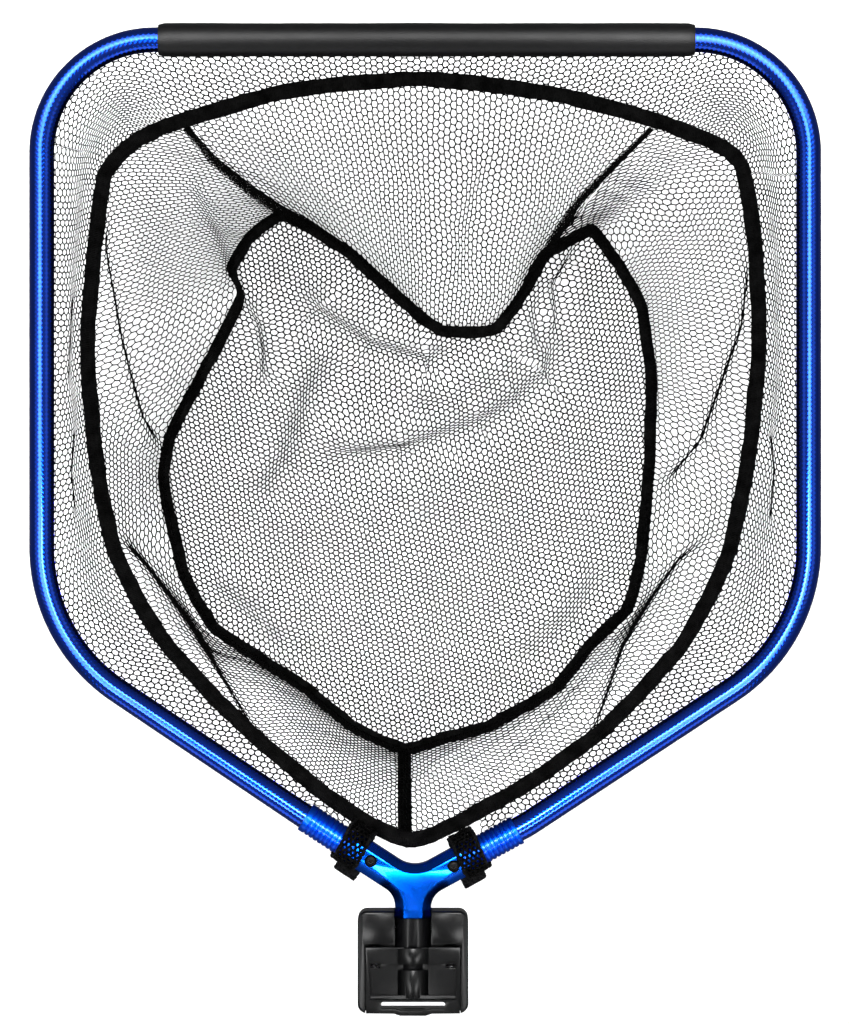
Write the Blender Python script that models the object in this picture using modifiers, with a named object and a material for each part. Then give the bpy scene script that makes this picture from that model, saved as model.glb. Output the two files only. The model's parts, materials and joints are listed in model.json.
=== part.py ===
"""Head of a landing net with a quick-release dock, in metres.

The net stands on the floor of its mesh bag with the hoop level above it.
The handle side is at -Y, the foam bar at +Y, and the bag hangs in -Z.
The origin is on the floor, below the middle of the whole head.
"""

import math

import bmesh
import bpy
from mathutils import Matrix, Vector

MM = 0.001
GAP = 0.3 * MM

# Hoop: a round tube with a bead channel along its inner side.
HOOP_Z = 130 * MM
HALF_WIDTH = 245 * MM
TOP_Y = 305.1 * MM
TOP_RADIUS = 72 * MM
LOWER_Y = -78 * MM
LOWER_RADIUS = 110 * MM
KNEE_RADIUS = 90 * MM
TUBE_R = 8 * MM
TUBE_WALL = 1.4 * MM
CHANNEL_HALF = 1.2 * MM
BEAD_R = 1.9 * MM
BEAD_INSET = 3.4 * MM

# Yoke: the middle of the Y sits a little to the left of the hoop's middle.
YOKE = Vector((-7.8 * MM, -236 * MM))
LEFT_ARM_DEG = 180 - 33.1
RIGHT_ARM_DEG = 28.7
ARM_HALF = 10.2 * MM
ARM_LENGTH = {"left": 46.5 * MM, "right": 38.5 * MM}
COLLAR_END = {"left": 82 * MM, "right": 76 * MM}
SOCKET_FROM = 24 * MM
SCREW_AT = {"left": 32 * MM, "right": 29.6 * MM}
STEM_HALF = 11.5 * MM
STEM_END_Y = -254.9 * MM
YOKE_CHAMFER = 5.6 * MM
COLLAR_R = 9.6 * MM
RIB_PITCH = 3.2 * MM
RIB_DEPTH = 0.5 * MM

# Foam sleeve round the top bar, slit along its inner side.
FOAM_R = 10.7 * MM
FOAM_X = (-170.4 * MM, 172.1 * MM)
FOAM_SLIT_HALF = 2 * MM

# Spigot: shank in the open cradle, thinner tip in the closed barrel.
SPIGOT_R = 11.25 * MM
SPIGOT_TIP_R = 8 * MM
SPIGOT_TIP_Y = -304 * MM
SHOULDER_Y = -284.3 * MM
TENON_R = 7 * MM
TENON_LENGTH = 12 * MM
STEM_SCREW_UP = 8.5 * MM
FLUTE_HALF = 3 * MM
FLUTE_DEPTH = 1.5 * MM
SIDE_GROOVE_HALF = 1.8 * MM
SIDE_GROOVE_DEPTH = 2 * MM

# Dock block and its back plate.
DOCK_HALF = 35.2 * MM
DOCK_TOP = -250.5 * MM
DOCK_BOTTOM = -315.7 * MM
DOCK_CORNER = 6 * MM
DOCK_FRONT = HOOP_Z + 11 * MM
DOCK_BACK = HOOP_Z - 13.5 * MM
PLATE_BACK = DOCK_BACK - 3 * MM
RUNNING = 0.4 * MM

# Cuts in the dock block.
AHEAD_Y = -240 * MM
BELOW_Y = -320 * MM
OVER_Z = HOOP_Z + 30 * MM
PAD_X = (12.3 * MM, 31.8 * MM)
PAD_Y = (-271 * MM, -252.2 * MM)
PAD_RISE = {"outer": 0.2 * MM, "inner_top": 1.6 * MM, "inner_low": 0.8 * MM}
PANEL_HALF = 28.2 * MM
PANEL_Y = (-304.2 * MM, -285 * MM)
PANEL_DEPTH = 5.5 * MM
GROOVE_Y = (-288 * MM, -271.4 * MM)
RAIL_FROM = 27 * MM
SPRING_UP = 1.4 * MM
SPRING_BORE_R = 2.4 * MM
SPRING_BORE_Y = -302 * MM
PIN_POCKET_X = (14 * MM, 29 * MM)
PIN_GUIDE_X = (9 * MM, 16 * MM)
BARREL_END_Y = -306 * MM
DOCK_SCREW_X = 29 * MM
DOCK_SCREW_Y = (-256 * MM, -303 * MM)
SCREW_HOLE_R = 1.7 * MM
SCREW_HOLE_DEPTH = 9 * MM
SINK_R = 3.2 * MM
SINK_DEPTH = 1.7 * MM

# Release slider: crossbar, two rails and a finger bar with a strap slot.
SLIDER_TRAVEL = 3 * MM
BAR_HALF = 29.9 * MM
CROSSBAR_Y = (-284 * MM, -273.8 * MM)
BAR_Y = (-315.7 * MM, -306.9 * MM)
RAIL_WIDTH = 2.4 * MM
SLOT_HALF = 20.5 * MM
SLOT_Y = (-313 * MM, -308.2 * MM)
BULGE = 1.3 * MM
BULGE_HALF = 8 * MM
ARCH_R = 14.6 * MM
LEG_X = (20.8 * MM, 27.2 * MM)

# Lock pins, square to the spigot.
PIN_Y = -262 * MM
PIN_R = 1.5 * MM
PIN_TRAVEL = 1.5 * MM
POCKET_R = 3 * MM
WIRE_R = 0.3 * MM

# Soft parts.
CLOTH = 1 * MM
TAPE = 1.2 * MM
RIM_TAPE_HALF = 5 * MM
BASE_TAPE_HALF = 3.8 * MM
SEAM_HALF = 4 * MM
RIM_Z = 126 * MM
STRAP_R = 11.7 * MM
STRAP_WIDTH = 16 * MM
TAB_SIZE = (18 * MM, 7 * MM, 5 * MM)
STRAP_AT = {"left": 46.5 * MM, "right": 42 * MM}

# The bag's two outlines in millimetres, from the back seam up the left side.
RIM_OUTLINE = [
    (-13, -206), (-63, -178), (-126, -124), (-172, -72), (-200, -17),
    (-212, 50), (-216, 115), (-210, 185), (-204, 221), (-184, 241.6),
    (-155, 254), (-84, 273.5), (0, 280.4), (84, 270.5), (147, 254),
    (188, 238), (203, 223), (211, 174), (213.5, 110), (207, 40),
    (193.5, -24), (165, -80), (117, -132.6), (69, -168), (21, -195),
]  # fmt: skip
RIM_SEAMS = {"front_left": 10, "front_right": 14}
BASE_OUTLINE = [
    (-14, -156), (-49, -140.5), (-80, -115), (-110.6, -95.4), (-143, -73),
    (-163, -36), (-176, 25), (-170, 58), (-145.7, 104), (-124.5, 147),
    (-129.8, 168), (-117, 189), (-95, 203), (-53, 179), (-13.7, 144),
    (11, 125.5), (46, 126), (64, 147), (80, 176), (98, 186.5),
    (112.5, 193), (130, 170), (145, 143), (152, 95), (151, 40),
    (145.4, -25), (136.5, -60.4), (110, -87), (88, -114.4), (44, -139.8),
    (11, -149),
]  # fmt: skip
BASE_SEAMS = {"front_left": 12, "front_right": 18}
STEPS = 2


# ---------------------------------------------------------------- helpers


def clear_scene():
    for obj in list(bpy.data.objects):
        bpy.data.objects.remove(obj, do_unlink=True)


def collection(name, hidden=False):
    made = bpy.data.collections.new(name)
    made.hide_render = hidden
    bpy.context.scene.collection.children.link(made)
    return made


def material(name, colour, roughness, metallic=0.0):
    made = bpy.data.materials.new(name)
    made.use_nodes = True
    shader = made.node_tree.nodes["Principled BSDF"]
    shader.inputs["Base Color"].default_value = (*colour, 1)
    shader.inputs["Roughness"].default_value = roughness
    shader.inputs["Metallic"].default_value = metallic
    return made


def add(name, mesh, finish=None, smooth_angle=None):
    """Puts a mesh in the scene: a part if it has a finish, a cutter if not."""
    obj = bpy.data.objects.new(name, mesh)
    if finish is None:
        CUTTERS.objects.link(obj)
        obj.hide_render = True
        obj.display_type = "WIRE"
    else:
        PARTS.objects.link(obj)
        mesh.materials.append(finish)
    if smooth_angle:
        mesh.shade_smooth()
        mesh.set_sharp_from_angle(angle=math.radians(smooth_angle))
    return obj


def mesh_of(name, bm):
    bmesh.ops.recalc_face_normals(bm, faces=bm.faces)
    mesh = bpy.data.meshes.new(name)
    bm.to_mesh(mesh)
    bm.free()
    return mesh


def box(name, low, high, finish=None):
    bm = bmesh.new()
    bmesh.ops.create_cube(bm, size=1)
    for v in bm.verts:
        v.co = Vector(low[i] if v.co[i] < 0 else high[i] for i in range(3))
    return add(name, mesh_of(name, bm), finish)


def rod(name, start, end, radius, finish=None, sides=24, end_radius=None):
    """A cylinder or cone between two points."""
    start, end = Vector(start), Vector(end)
    along = end - start
    bm = bmesh.new()
    bmesh.ops.create_cone(
        bm,
        cap_ends=True,
        segments=sides,
        radius1=radius,
        radius2=radius if end_radius is None else end_radius,
        depth=along.length,
    )
    turn = along.to_track_quat("Z", "Y").to_matrix().to_4x4()
    bmesh.ops.transform(bm, matrix=Matrix.Translation((start + end) / 2) @ turn, verts=bm.verts)
    return add(name, mesh_of(name, bm), finish, 40)


def turned(name, profile, start, direction, finish, sides=32):
    """A body of revolution from (radius, distance) pairs along an axis."""
    mesh = bpy.data.meshes.new(name)
    points = [(radius, 0, along) for radius, along in profile]
    edges = [(i, (i + 1) % len(points)) for i in range(len(points))]
    mesh.from_pydata(points, edges, [])
    obj = add(name, mesh, finish)
    screw = obj.modifiers.new("Screw", "SCREW")
    screw.axis = "Z"
    screw.steps = sides
    screw.render_steps = sides
    screw.use_merge_vertices = True
    screw.merge_threshold = 0.00001
    screw.use_smooth_shade = False
    turn = Vector(direction).to_track_quat("Z", "Y").to_matrix().to_4x4()
    obj.matrix_world = Matrix.Translation(start) @ turn
    return obj


def plate(name, outline, z_low, z_high, finish=None):
    """A flat outline as a filled 2D curve, made into a closed mesh."""
    curve = bpy.data.curves.new(name, "CURVE")
    curve.dimensions = "2D"
    curve.fill_mode = "BOTH"
    curve.extrude = (z_high - z_low) / 2
    spline = curve.splines.new("POLY")
    spline.points.add(len(outline) - 1)
    for point, (x, y) in zip(spline.points, outline):
        point.co = (x, y, 0, 1)
    spline.use_cyclic_u = True
    guide = bpy.data.objects.new(name + "_outline", curve)
    guide.location.z = (z_low + z_high) / 2
    PARTS.objects.link(guide)
    return as_mesh(guide, name, finish)


def as_mesh(guide, name, finish=None):
    bpy.context.view_layer.update()
    graph = bpy.context.evaluated_depsgraph_get()
    mesh = bpy.data.meshes.new_from_object(guide.evaluated_get(graph))
    bm = bmesh.new()
    bm.from_mesh(mesh)
    bmesh.ops.remove_doubles(bm, verts=bm.verts, dist=0.00001)
    bmesh.ops.dissolve_limit(bm, angle_limit=0.001, verts=bm.verts, edges=bm.edges)
    bmesh.ops.recalc_face_normals(bm, faces=bm.faces)
    bm.to_mesh(mesh)
    bm.free()
    mesh.materials.clear()
    obj = add(name, mesh, finish)
    obj.matrix_world = guide.matrix_world.copy()
    bpy.data.objects.remove(guide, do_unlink=True)
    return obj


def change(obj, other, operation="DIFFERENCE"):
    """Cuts a helper from the object, or joins it on."""
    modifier = obj.modifiers.new(other.name, "BOOLEAN")
    modifier.object = other
    modifier.operation = operation


def bevel(obj, width, segments=1, angle=30):
    modifier = obj.modifiers.new("Bevel", "BEVEL")
    modifier.width = width
    modifier.segments = segments
    modifier.limit_method = "ANGLE"
    modifier.angle_limit = math.radians(angle)
    modifier.harden_normals = False


def rounded(corners, closed=True):
    """An outline of (x, y, radius, segments) corners with round corners."""
    count = len(corners)
    points = []
    for i, (x, y, radius, segments) in enumerate(corners):
        here = Vector((x, y))
        if radius == 0 or (not closed and i in (0, count - 1)):
            points.append(here)
            continue
        back = (Vector(corners[i - 1][:2]) - here).normalized()
        ahead = (Vector(corners[(i + 1) % count][:2]) - here).normalized()
        half = back.angle(ahead) / 2
        centre = here + (back + ahead).normalized() * radius / math.sin(half)
        start = here + back * radius / math.tan(half) - centre
        turn = start.angle_signed(here + ahead * radius / math.tan(half) - centre)
        for k in range(segments + 1):
            angle = -turn * k / segments
            spoke = Matrix.Rotation(angle, 2) @ start
            points.append(centre + spoke)
    return points


def smooth_loop(outline, steps=STEPS):
    """A closed Catmull-Rom curve through an outline in millimetres."""
    knots = [Vector(point) * MM for point in outline]
    points = []
    for i in range(len(knots)):
        a, b, c, d = (knots[(i + k) % len(knots)] for k in (-1, 0, 1, 2))
        for k in range(steps):
            t = k / steps
            linear = (c - a) * t
            square = (2 * a - 5 * b + 4 * c - d) * t * t
            cubic = (3 * b - a - 3 * c + d) * t * t * t
            points.append((2 * b + linear + square + cubic) / 2)
    return points


def side_ways(path, closed):
    """The unit direction to the right of travel at each point of a path."""
    count = len(path)
    found = []
    for i in range(count):
        before = path[i - 1] if closed or i else path[i]
        after = path[(i + 1) % count] if closed or i < count - 1 else path[i]
        along = (after - before).normalized()
        found.append(Vector((along.y, -along.x)))
    return found


def resample(path, count):
    """Points at even spacing along an open path."""
    lengths = [0.0]
    for a, b in zip(path, path[1:]):
        lengths.append(lengths[-1] + (b - a).length)
    points = []
    k = 0
    for i in range(count):
        target = lengths[-1] * i / (count - 1)
        while k < len(path) - 2 and lengths[k + 1] < target:
            k += 1
        share = (target - lengths[k]) / (lengths[k + 1] - lengths[k])
        points.append(path[k].lerp(path[k + 1], share))
    return points


def skin(name, rings, finish, round_section=True, closed=False, smooth_angle=None):
    """Joins sections into one skin, with caps on the ends of an open one."""
    bm = bmesh.new()
    rows = [[bm.verts.new(point) for point in ring] for ring in rings]
    pairs = list(zip(rows, rows[1:] + rows[:1])) if closed else list(zip(rows, rows[1:]))
    for a, b in pairs:
        size = len(a)
        for i in range(size if round_section else size - 1):
            j = (i + 1) % size
            bm.faces.new((a[i], a[j], b[j], b[i]))
    if round_section and not closed:
        bm.faces.new(rows[0])
        bm.faces.new(rows[-1])
    return add(name, mesh_of(name, bm), finish, smooth_angle)


def solidify(obj, thickness, offset=0.0):
    modifier = obj.modifiers.new("Solidify", "SOLIDIFY")
    modifier.thickness = thickness
    modifier.offset = offset
    modifier.use_even_offset = False


def swept(path, sides, section, z=HOOP_Z):
    """Sections of (inset, height) points along a level path."""
    return [
        [Vector((*(point + side * inset), z + height)) for inset, height in section]
        for point, side in zip(path, sides)
    ]


def arm_point(side, distance, across=0.0):
    """A point on an arm's axis, at a distance from the yoke's middle."""
    angle = math.radians(LEFT_ARM_DEG if side == "left" else RIGHT_ARM_DEG)
    along = Vector((math.cos(angle), math.sin(angle)))
    square = Vector((along.y, -along.x)) if side == "left" else Vector((-along.y, along.x))
    return YOKE + along * distance + square * across


def at(point, z=0.0):
    return Vector((point.x, point.y, HOOP_Z + z))


# ------------------------------------------------------------- hard parts


def hoop_path():
    """The tube's middle line, from inside the left arm round to the right."""
    left_in = arm_point("left", SOCKET_FROM + 1 * MM)
    right_in = arm_point("right", SOCKET_FROM + 1 * MM)
    left_knee = arm_point("left", COLLAR_END["left"] + 6 * MM)
    right_knee = arm_point("right", COLLAR_END["right"] + 8 * MM)
    corners = [
        (*left_in, 0, 0),
        (*left_knee, KNEE_RADIUS, 2),
        (-HALF_WIDTH, LOWER_Y, LOWER_RADIUS, 5),
        (-HALF_WIDTH, TOP_Y, TOP_RADIUS, 7),
        (HALF_WIDTH, TOP_Y, TOP_RADIUS, 7),
        (HALF_WIDTH, LOWER_Y, LOWER_RADIUS, 5),
        (*right_knee, KNEE_RADIUS, 2),
        (*right_in, 0, 0),
    ]
    return rounded(corners, closed=False)


def make_hoop_tube(finish):
    """Round outside and inside, with a narrow channel facing the bag."""
    inner = TUBE_R - TUBE_WALL
    outer_start = math.asin(CHANNEL_HALF / TUBE_R)
    inner_start = math.asin(CHANNEL_HALF / inner)
    section = []
    for radius, first, count in ((TUBE_R, outer_start, 14), (inner, inner_start, 10)):
        arc = []
        for k in range(count + 1):
            angle = first + (2 * math.pi - 2 * first) * k / count
            arc.append((radius * math.cos(angle), radius * math.sin(angle)))
        section += arc if radius == TUBE_R else arc[::-1]
    path = hoop_path()
    tube = skin("hoop_tube", swept(path, side_ways(path, False), section), finish, smooth_angle=30)
    for side in ("left", "right"):
        middle = arm_point(side, SCREW_AT[side])
        change(tube, rod("tube_hole_" + side, at(middle), at(middle, 12 * MM), 2.4 * MM, sides=8))
    return tube


def make_edge_bead(finish):
    """The round cord that holds the net's edge inside the channel."""
    path = rim_run()
    section = [
        (BEAD_INSET + BEAD_R * math.cos(k * math.pi / 4), BEAD_R * math.sin(k * math.pi / 4))
        for k in range(8)
    ]
    skin("edge_bead", swept(path, side_ways(path, False), section), finish, smooth_angle=50)


def rim_run():
    """The part of the tube's middle line that is outside the collars."""
    path = hoop_path()[1:-1]
    return [path[0].lerp(path[1], 0.3)] + path[1:-1] + [path[-1].lerp(path[-2], 0.3)]


def make_foam_sleeve(finish):
    bore = TUBE_R + GAP
    section = []
    for radius, count in ((FOAM_R, 20), (bore, 16)):
        first = math.asin(FOAM_SLIT_HALF / radius)
        arc = []
        for k in range(count + 1):
            angle = first + (2 * math.pi - 2 * first) * k / count
            arc.append((radius * math.cos(angle), radius * math.sin(angle)))
        section += arc if radius == FOAM_R else arc[::-1]
    path = [Vector((x, TOP_Y)) for x in FOAM_X]
    skin("foam_sleeve", swept(path, side_ways(path, False), section), finish, smooth_angle=30)


def make_collar(side, finish):
    """A ribbed sleeve over the tube, from the arm's end outwards."""
    start = ARM_LENGTH[side] + GAP
    length = COLLAR_END[side] - start
    bore = TUBE_R + GAP
    outer = [(COLLAR_R - 0.5 * MM, 0), (COLLAR_R, 0.5 * MM)]
    first_rib = 8 * MM
    ribs = int((length - first_rib - 2 * MM) / RIB_PITCH)
    for k in range(ribs):
        z = first_rib + k * RIB_PITCH
        groove = 0.45 * MM
        outer += [(COLLAR_R, z), (COLLAR_R - RIB_DEPTH, z + groove / 2), (COLLAR_R, z + groove)]
    outer += [(COLLAR_R, length - 0.5 * MM), (COLLAR_R - 0.5 * MM, length)]
    profile = [(bore, 0), (bore, length)] + outer[::-1]
    along = at(arm_point(side, 1)) - at(arm_point(side, 0))
    turned("collar_" + side, profile, at(arm_point(side, start)), along, finish, sides=16)


def make_yoke(finish):
    """A chamfered Y plate with sockets for the tube ends and the spigot."""
    spare = 14 * MM
    tips = {side: ARM_LENGTH[side] + spare for side in ARM_LENGTH}
    left_edge = YOKE.x - STEM_HALF
    right_edge = YOKE.x + STEM_HALF

    def crossing(side, x):
        low = arm_point(side, 0, -ARM_HALF)
        far = arm_point(side, 1, -ARM_HALF)
        return low.lerp(far, (x - low.x) / (far.x - low.x)).y

    notch_a = arm_point("left", 0, ARM_HALF)
    notch_b = arm_point("left", 1, ARM_HALF)
    notch_c = arm_point("right", 0, ARM_HALF)
    notch_d = arm_point("right", 1, ARM_HALF)
    first, second = notch_b - notch_a, notch_d - notch_c
    share = (notch_c - notch_a).cross(second) / first.cross(second)
    notch = notch_a + first * share
    outline = rounded(
        [
            (left_edge, STEM_END_Y - spare, 0, 0),
            (left_edge, crossing("left", left_edge), 13 * MM, 6),
            (*arm_point("left", tips["left"], -ARM_HALF), 0, 0),
            (*arm_point("left", tips["left"], ARM_HALF), 0, 0),
            (*notch, 18 * MM, 6),
            (*arm_point("right", tips["right"], ARM_HALF), 0, 0),
            (*arm_point("right", tips["right"], -ARM_HALF), 0, 0),
            (right_edge, crossing("right", right_edge), 13 * MM, 6),
            (right_edge, STEM_END_Y - spare, 0, 0),
        ]
    )
    yoke = plate("yoke", outline, HOOP_Z - ARM_HALF, HOOP_Z + ARM_HALF, finish)
    bevel(yoke, YOKE_CHAMFER)
    for side in ("left", "right"):
        end = ARM_LENGTH[side]
        far = at(arm_point(side, end + 40 * MM))
        change(yoke, rod("arm_end_" + side, at(arm_point(side, end)), far, 30 * MM, sides=8))
        change(yoke, rod("arm_bore_" + side, at(arm_point(side, SOCKET_FROM)), far, TUBE_R + GAP))
        middle = arm_point(side, SCREW_AT[side])
        change(yoke, rod("screw_hole_" + side, at(middle), at(middle, 12 * MM), 2.3 * MM, sides=8))
    stem = Vector((YOKE.x, STEM_END_Y))
    change(yoke, rod("stem_end", at(stem), at(stem + Vector((0, -40 * MM))), 30 * MM, sides=8))
    top = stem + Vector((0, TENON_LENGTH + GAP))
    change(yoke, rod("stem_bore", at(stem + Vector((0, -5 * MM))), at(top), TENON_R + GAP))
    hole = stem + Vector((0, STEM_SCREW_UP))
    change(yoke, rod("stem_hole", at(hole), at(hole, -12 * MM), 1.8 * MM, sides=8))


def make_button_screw(name, head_at, direction, finish, shank_r, shank, head_r, head):
    """A button-head screw with a hexagon socket; head_at is under the head."""
    direction = Vector(direction)
    profile = [
        (0, -shank),
        (shank_r, -shank),
        (shank_r, 0),
        (head_r, 0),
        (head_r, head * 0.35),
        (head_r * 0.86, head * 0.75),
        (head_r * 0.55, head),
        (0, head),
    ]
    screw = turned(name, profile, head_at, direction, finish, sides=12)
    weld_axis(screw)
    socket = rod(
        name + "_socket",
        head_at + direction * head * 0.35,
        head_at + direction * head * 2,
        head_r * 0.42,
        sides=6,
    )
    change(screw, socket)


def weld_axis(obj):
    """Merges the points that a turned profile leaves on its own axis."""
    weld = obj.modifiers.new("Weld", "WELD")
    weld.merge_threshold = 0.00001


def make_yoke_screws(finish):
    for side in ("left", "right"):
        seat = at(arm_point(side, SCREW_AT[side]), ARM_HALF + 0.05 * MM)
        sizes = (2 * MM, 5 * MM, 4 * MM, 2.2 * MM)
        make_button_screw("yoke_screw_" + side, seat, (0, 0, 1), finish, *sizes)


def make_spigot(finish):
    """Tenon, shank with flute and side grooves, and the thinner tip."""
    top = STEM_END_Y - GAP
    tenon_top = STEM_END_Y + TENON_LENGTH
    chamfer = 1 * MM
    profile = [
        (0, 0),
        (TENON_R, 0),
        (TENON_R, tenon_top - top),
        (SPIGOT_R, tenon_top - top),
        (SPIGOT_R, tenon_top - SHOULDER_Y),
        (SPIGOT_TIP_R, tenon_top - SHOULDER_Y),
        (SPIGOT_TIP_R, tenon_top - SPIGOT_TIP_Y - chamfer),
        (SPIGOT_TIP_R - chamfer, tenon_top - SPIGOT_TIP_Y),
        (0, tenon_top - SPIGOT_TIP_Y),
    ]
    start = Vector((YOKE.x, tenon_top, HOOP_Z))
    spigot = turned("spigot", profile[::-1], start, (0, -1, 0), finish, sides=24)
    weld_axis(spigot)
    x, low, high = YOKE.x, SHOULDER_Y - 2 * MM, top + 1 * MM
    change(
        spigot,
        box(
            "flute",
            (x - FLUTE_HALF, low, HOOP_Z + SPIGOT_R - FLUTE_DEPTH),
            (x + FLUTE_HALF, top - 0.8 * MM, HOOP_Z + 20 * MM),
        ),
    )
    for way in (-1, 1):
        ends = sorted((x + way * (SPIGOT_R - SIDE_GROOVE_DEPTH), x + way * 20 * MM))
        change(
            spigot,
            box(
                "side_groove_" + ("left" if way < 0 else "right"),
                (ends[0], low, HOOP_Z - SIDE_GROOVE_HALF),
                (ends[1], high - 3 * MM, HOOP_Z + SIDE_GROOVE_HALF),
            ),
        )
    hole = Vector((x, STEM_END_Y + STEM_SCREW_UP))
    change(spigot, rod("tenon_hole", at(hole), at(hole, -9 * MM), 1.8 * MM, sides=8))


def make_spigot_screw(finish):
    hole = Vector((YOKE.x, STEM_END_Y + STEM_SCREW_UP))
    seat = at(hole, -ARM_HALF - 0.05 * MM)
    sizes = (1.5 * MM, 6 * MM, 2.8 * MM, 1.8 * MM)
    make_button_screw("spigot_screw", seat, (0, 0, -1), finish, *sizes)


def dock_outline(inset=0.0):
    half = DOCK_HALF - inset
    x = YOKE.x
    corner = DOCK_CORNER - inset
    return rounded(
        [
            (x - half, DOCK_BOTTOM + inset, corner, 4),
            (x - half, DOCK_TOP - inset, corner, 4),
            (x + half, DOCK_TOP - inset, corner, 4),
            (x + half, DOCK_BOTTOM + inset, corner, 4),
        ]
    )


def dock_box(name, x_half, y_range, z_range, finish=None):
    """A box centred on the spigot's upright plane."""
    low = (YOKE.x - x_half, y_range[0], z_range[0])
    return box(name, low, (YOKE.x + x_half, y_range[1], z_range[1]), finish)


def make_facet_pad(way):
    """A raised corner panel with a crease from its outer top corner."""
    inner, outer = YOKE.x + way * PAD_X[0], YOKE.x + way * PAD_X[1]
    bottom, top = PAD_Y
    front = DOCK_FRONT
    base = front - 1 * MM
    corners = [
        (outer, top, front + PAD_RISE["outer"]),
        (inner, top, front + PAD_RISE["inner_top"]),
        (inner, bottom, front + PAD_RISE["inner_low"]),
        (outer, bottom, front + PAD_RISE["outer"]),
    ]
    bm = bmesh.new()
    for x, y, z in corners:
        bm.verts.new((x, y, z))
        bm.verts.new((x, y, base))
    bmesh.ops.convex_hull(bm, input=bm.verts)
    return add("facet_pad_" + ("left" if way < 0 else "right"), mesh_of("facet", bm))


def make_dock_body(finish):
    x, y0 = YOKE.x, SHOULDER_Y - 0.4 * MM
    body = plate("dock_body", dock_outline(), DOCK_BACK, DOCK_FRONT, finish)
    bevel(body, 1.2 * MM, 2)
    for way in (-1, 1):
        change(body, make_facet_pad(way), "UNION")
    cradle_r = SPIGOT_R + RUNNING
    change(body, dock_box("cradle_mouth", cradle_r, (y0, AHEAD_Y), (HOOP_Z, OVER_Z)))
    seat = (STEM_END_Y - 2 * RUNNING, AHEAD_Y), (HOOP_Z - ARM_HALF - RUNNING, OVER_Z)
    change(body, dock_box("stem_seat", STEM_HALF + 0.5 * MM, *seat))
    ahead = Vector((x, AHEAD_Y))
    change(body, rod("cradle", at(Vector((x, y0))), at(ahead), cradle_r, sides=24))
    recess_z = DOCK_FRONT - PANEL_DEPTH
    change(body, dock_box("panel_recess", PANEL_HALF, PANEL_Y, (recess_z, OVER_Z)))
    change(body, dock_box("bar_groove", BAR_HALF + 0.5 * MM, GROOVE_Y, (recess_z, OVER_Z)))
    for way, side in ((-1, "left"), (1, "right")):
        edge = sorted((x + way * RAIL_FROM, x + way * (BAR_HALF + 0.5 * MM)))
        low, high = (edge[0], BELOW_Y, recess_z), (edge[1], PANEL_Y[1], OVER_Z)
        change(body, box("rail_groove_" + side, low, high))
        leg = sorted((x + way * (LEG_X[0] - RUNNING), x + way * (LEG_X[1] + RUNNING)))
        leg_end = CROSSBAR_Y[0] - SLIDER_TRAVEL - RUNNING
        low, high = (leg[0], leg_end, HOOP_Z - 2 * MM), (leg[1], GROOVE_Y[1], OVER_Z)
        change(body, box("leg_pocket_" + side, low, high))
        spring_x, spring_z = x + way * (LEG_X[0] + LEG_X[1]) / 2, HOOP_Z + SPRING_UP
        low, high = (spring_x, leg_end + 1 * MM, spring_z), (spring_x, SPRING_BORE_Y, spring_z)
        change(body, rod("spring_bore_" + side, low, high, SPRING_BORE_R, sides=16))
        pocket = ((x + way * end, PIN_Y, HOOP_Z) for end in PIN_POCKET_X)
        change(body, rod("pin_pocket_" + side, *pocket, POCKET_R, sides=16))
        guide = ((x + way * end, PIN_Y, HOOP_Z) for end in PIN_GUIDE_X)
        change(body, rod("pin_guide_" + side, *guide, PIN_R + GAP, sides=16))
    barrel_start = y0 - 0.6 * MM - SLIDER_TRAVEL
    ends = (at(Vector((x, y))) for y in (barrel_start, BARREL_END_Y))
    change(body, rod("barrel", *ends, SPIGOT_R, sides=24), "UNION")
    bore = at(Vector((x, y0 + 1 * MM))), at(Vector((x, SPIGOT_TIP_Y - 0.6 * MM)))
    change(body, rod("barrel_bore", *bore, SPIGOT_TIP_R + RUNNING, sides=24))
    bar_pocket = (BELOW_Y, BAR_Y[1] + 0.5 * MM), (HOOP_Z - 3.5 * MM, OVER_Z)
    change(body, dock_box("finger_bar_pocket", BAR_HALF + 0.5 * MM, *bar_pocket))
    strap_pocket = (SLOT_Y[0] - 1 * MM, SLOT_Y[1] + 0.6 * MM), (HOOP_Z - 30 * MM, OVER_Z)
    change(body, dock_box("strap_way", SLOT_HALF + 1 * MM, *strap_pocket))
    for k, (sx, sy) in enumerate(dock_screw_places()):
        start = Vector((sx, sy, DOCK_BACK - 1 * MM))
        top = start + Vector((0, 0, SCREW_HOLE_DEPTH))
        change(body, rod(f"screw_pilot_{k}", start, top, SCREW_HOLE_R, sides=8))


def dock_screw_places():
    return [(YOKE.x + way * DOCK_SCREW_X, y) for y in DOCK_SCREW_Y for way in (-1, 1)]


def make_dock_back_plate(finish):
    top = DOCK_BACK - GAP
    cover = plate("dock_back_plate", dock_outline(0.6 * MM), PLATE_BACK, top, finish)
    bevel(cover, 0.8 * MM)
    way = dock_box(
        "plate_strap_way",
        SLOT_HALF + 1 * MM,
        (SLOT_Y[0] - 1 * MM, SLOT_Y[1] + 0.6 * MM),
        (PLATE_BACK - 5 * MM, top + 5 * MM),
    )
    change(cover, way)
    for k, (sx, sy) in enumerate(dock_screw_places()):
        low = Vector((sx, sy, PLATE_BACK - 1 * MM))
        seat = Vector((sx, sy, PLATE_BACK + SINK_DEPTH))
        top = low + Vector((0, 0, SCREW_HOLE_DEPTH))
        change(cover, rod(f"plate_hole_{k}", low, top, SCREW_HOLE_R, sides=8))
        change(cover, rod(f"plate_sink_{k}", low, seat, SINK_R, sides=12))


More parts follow.
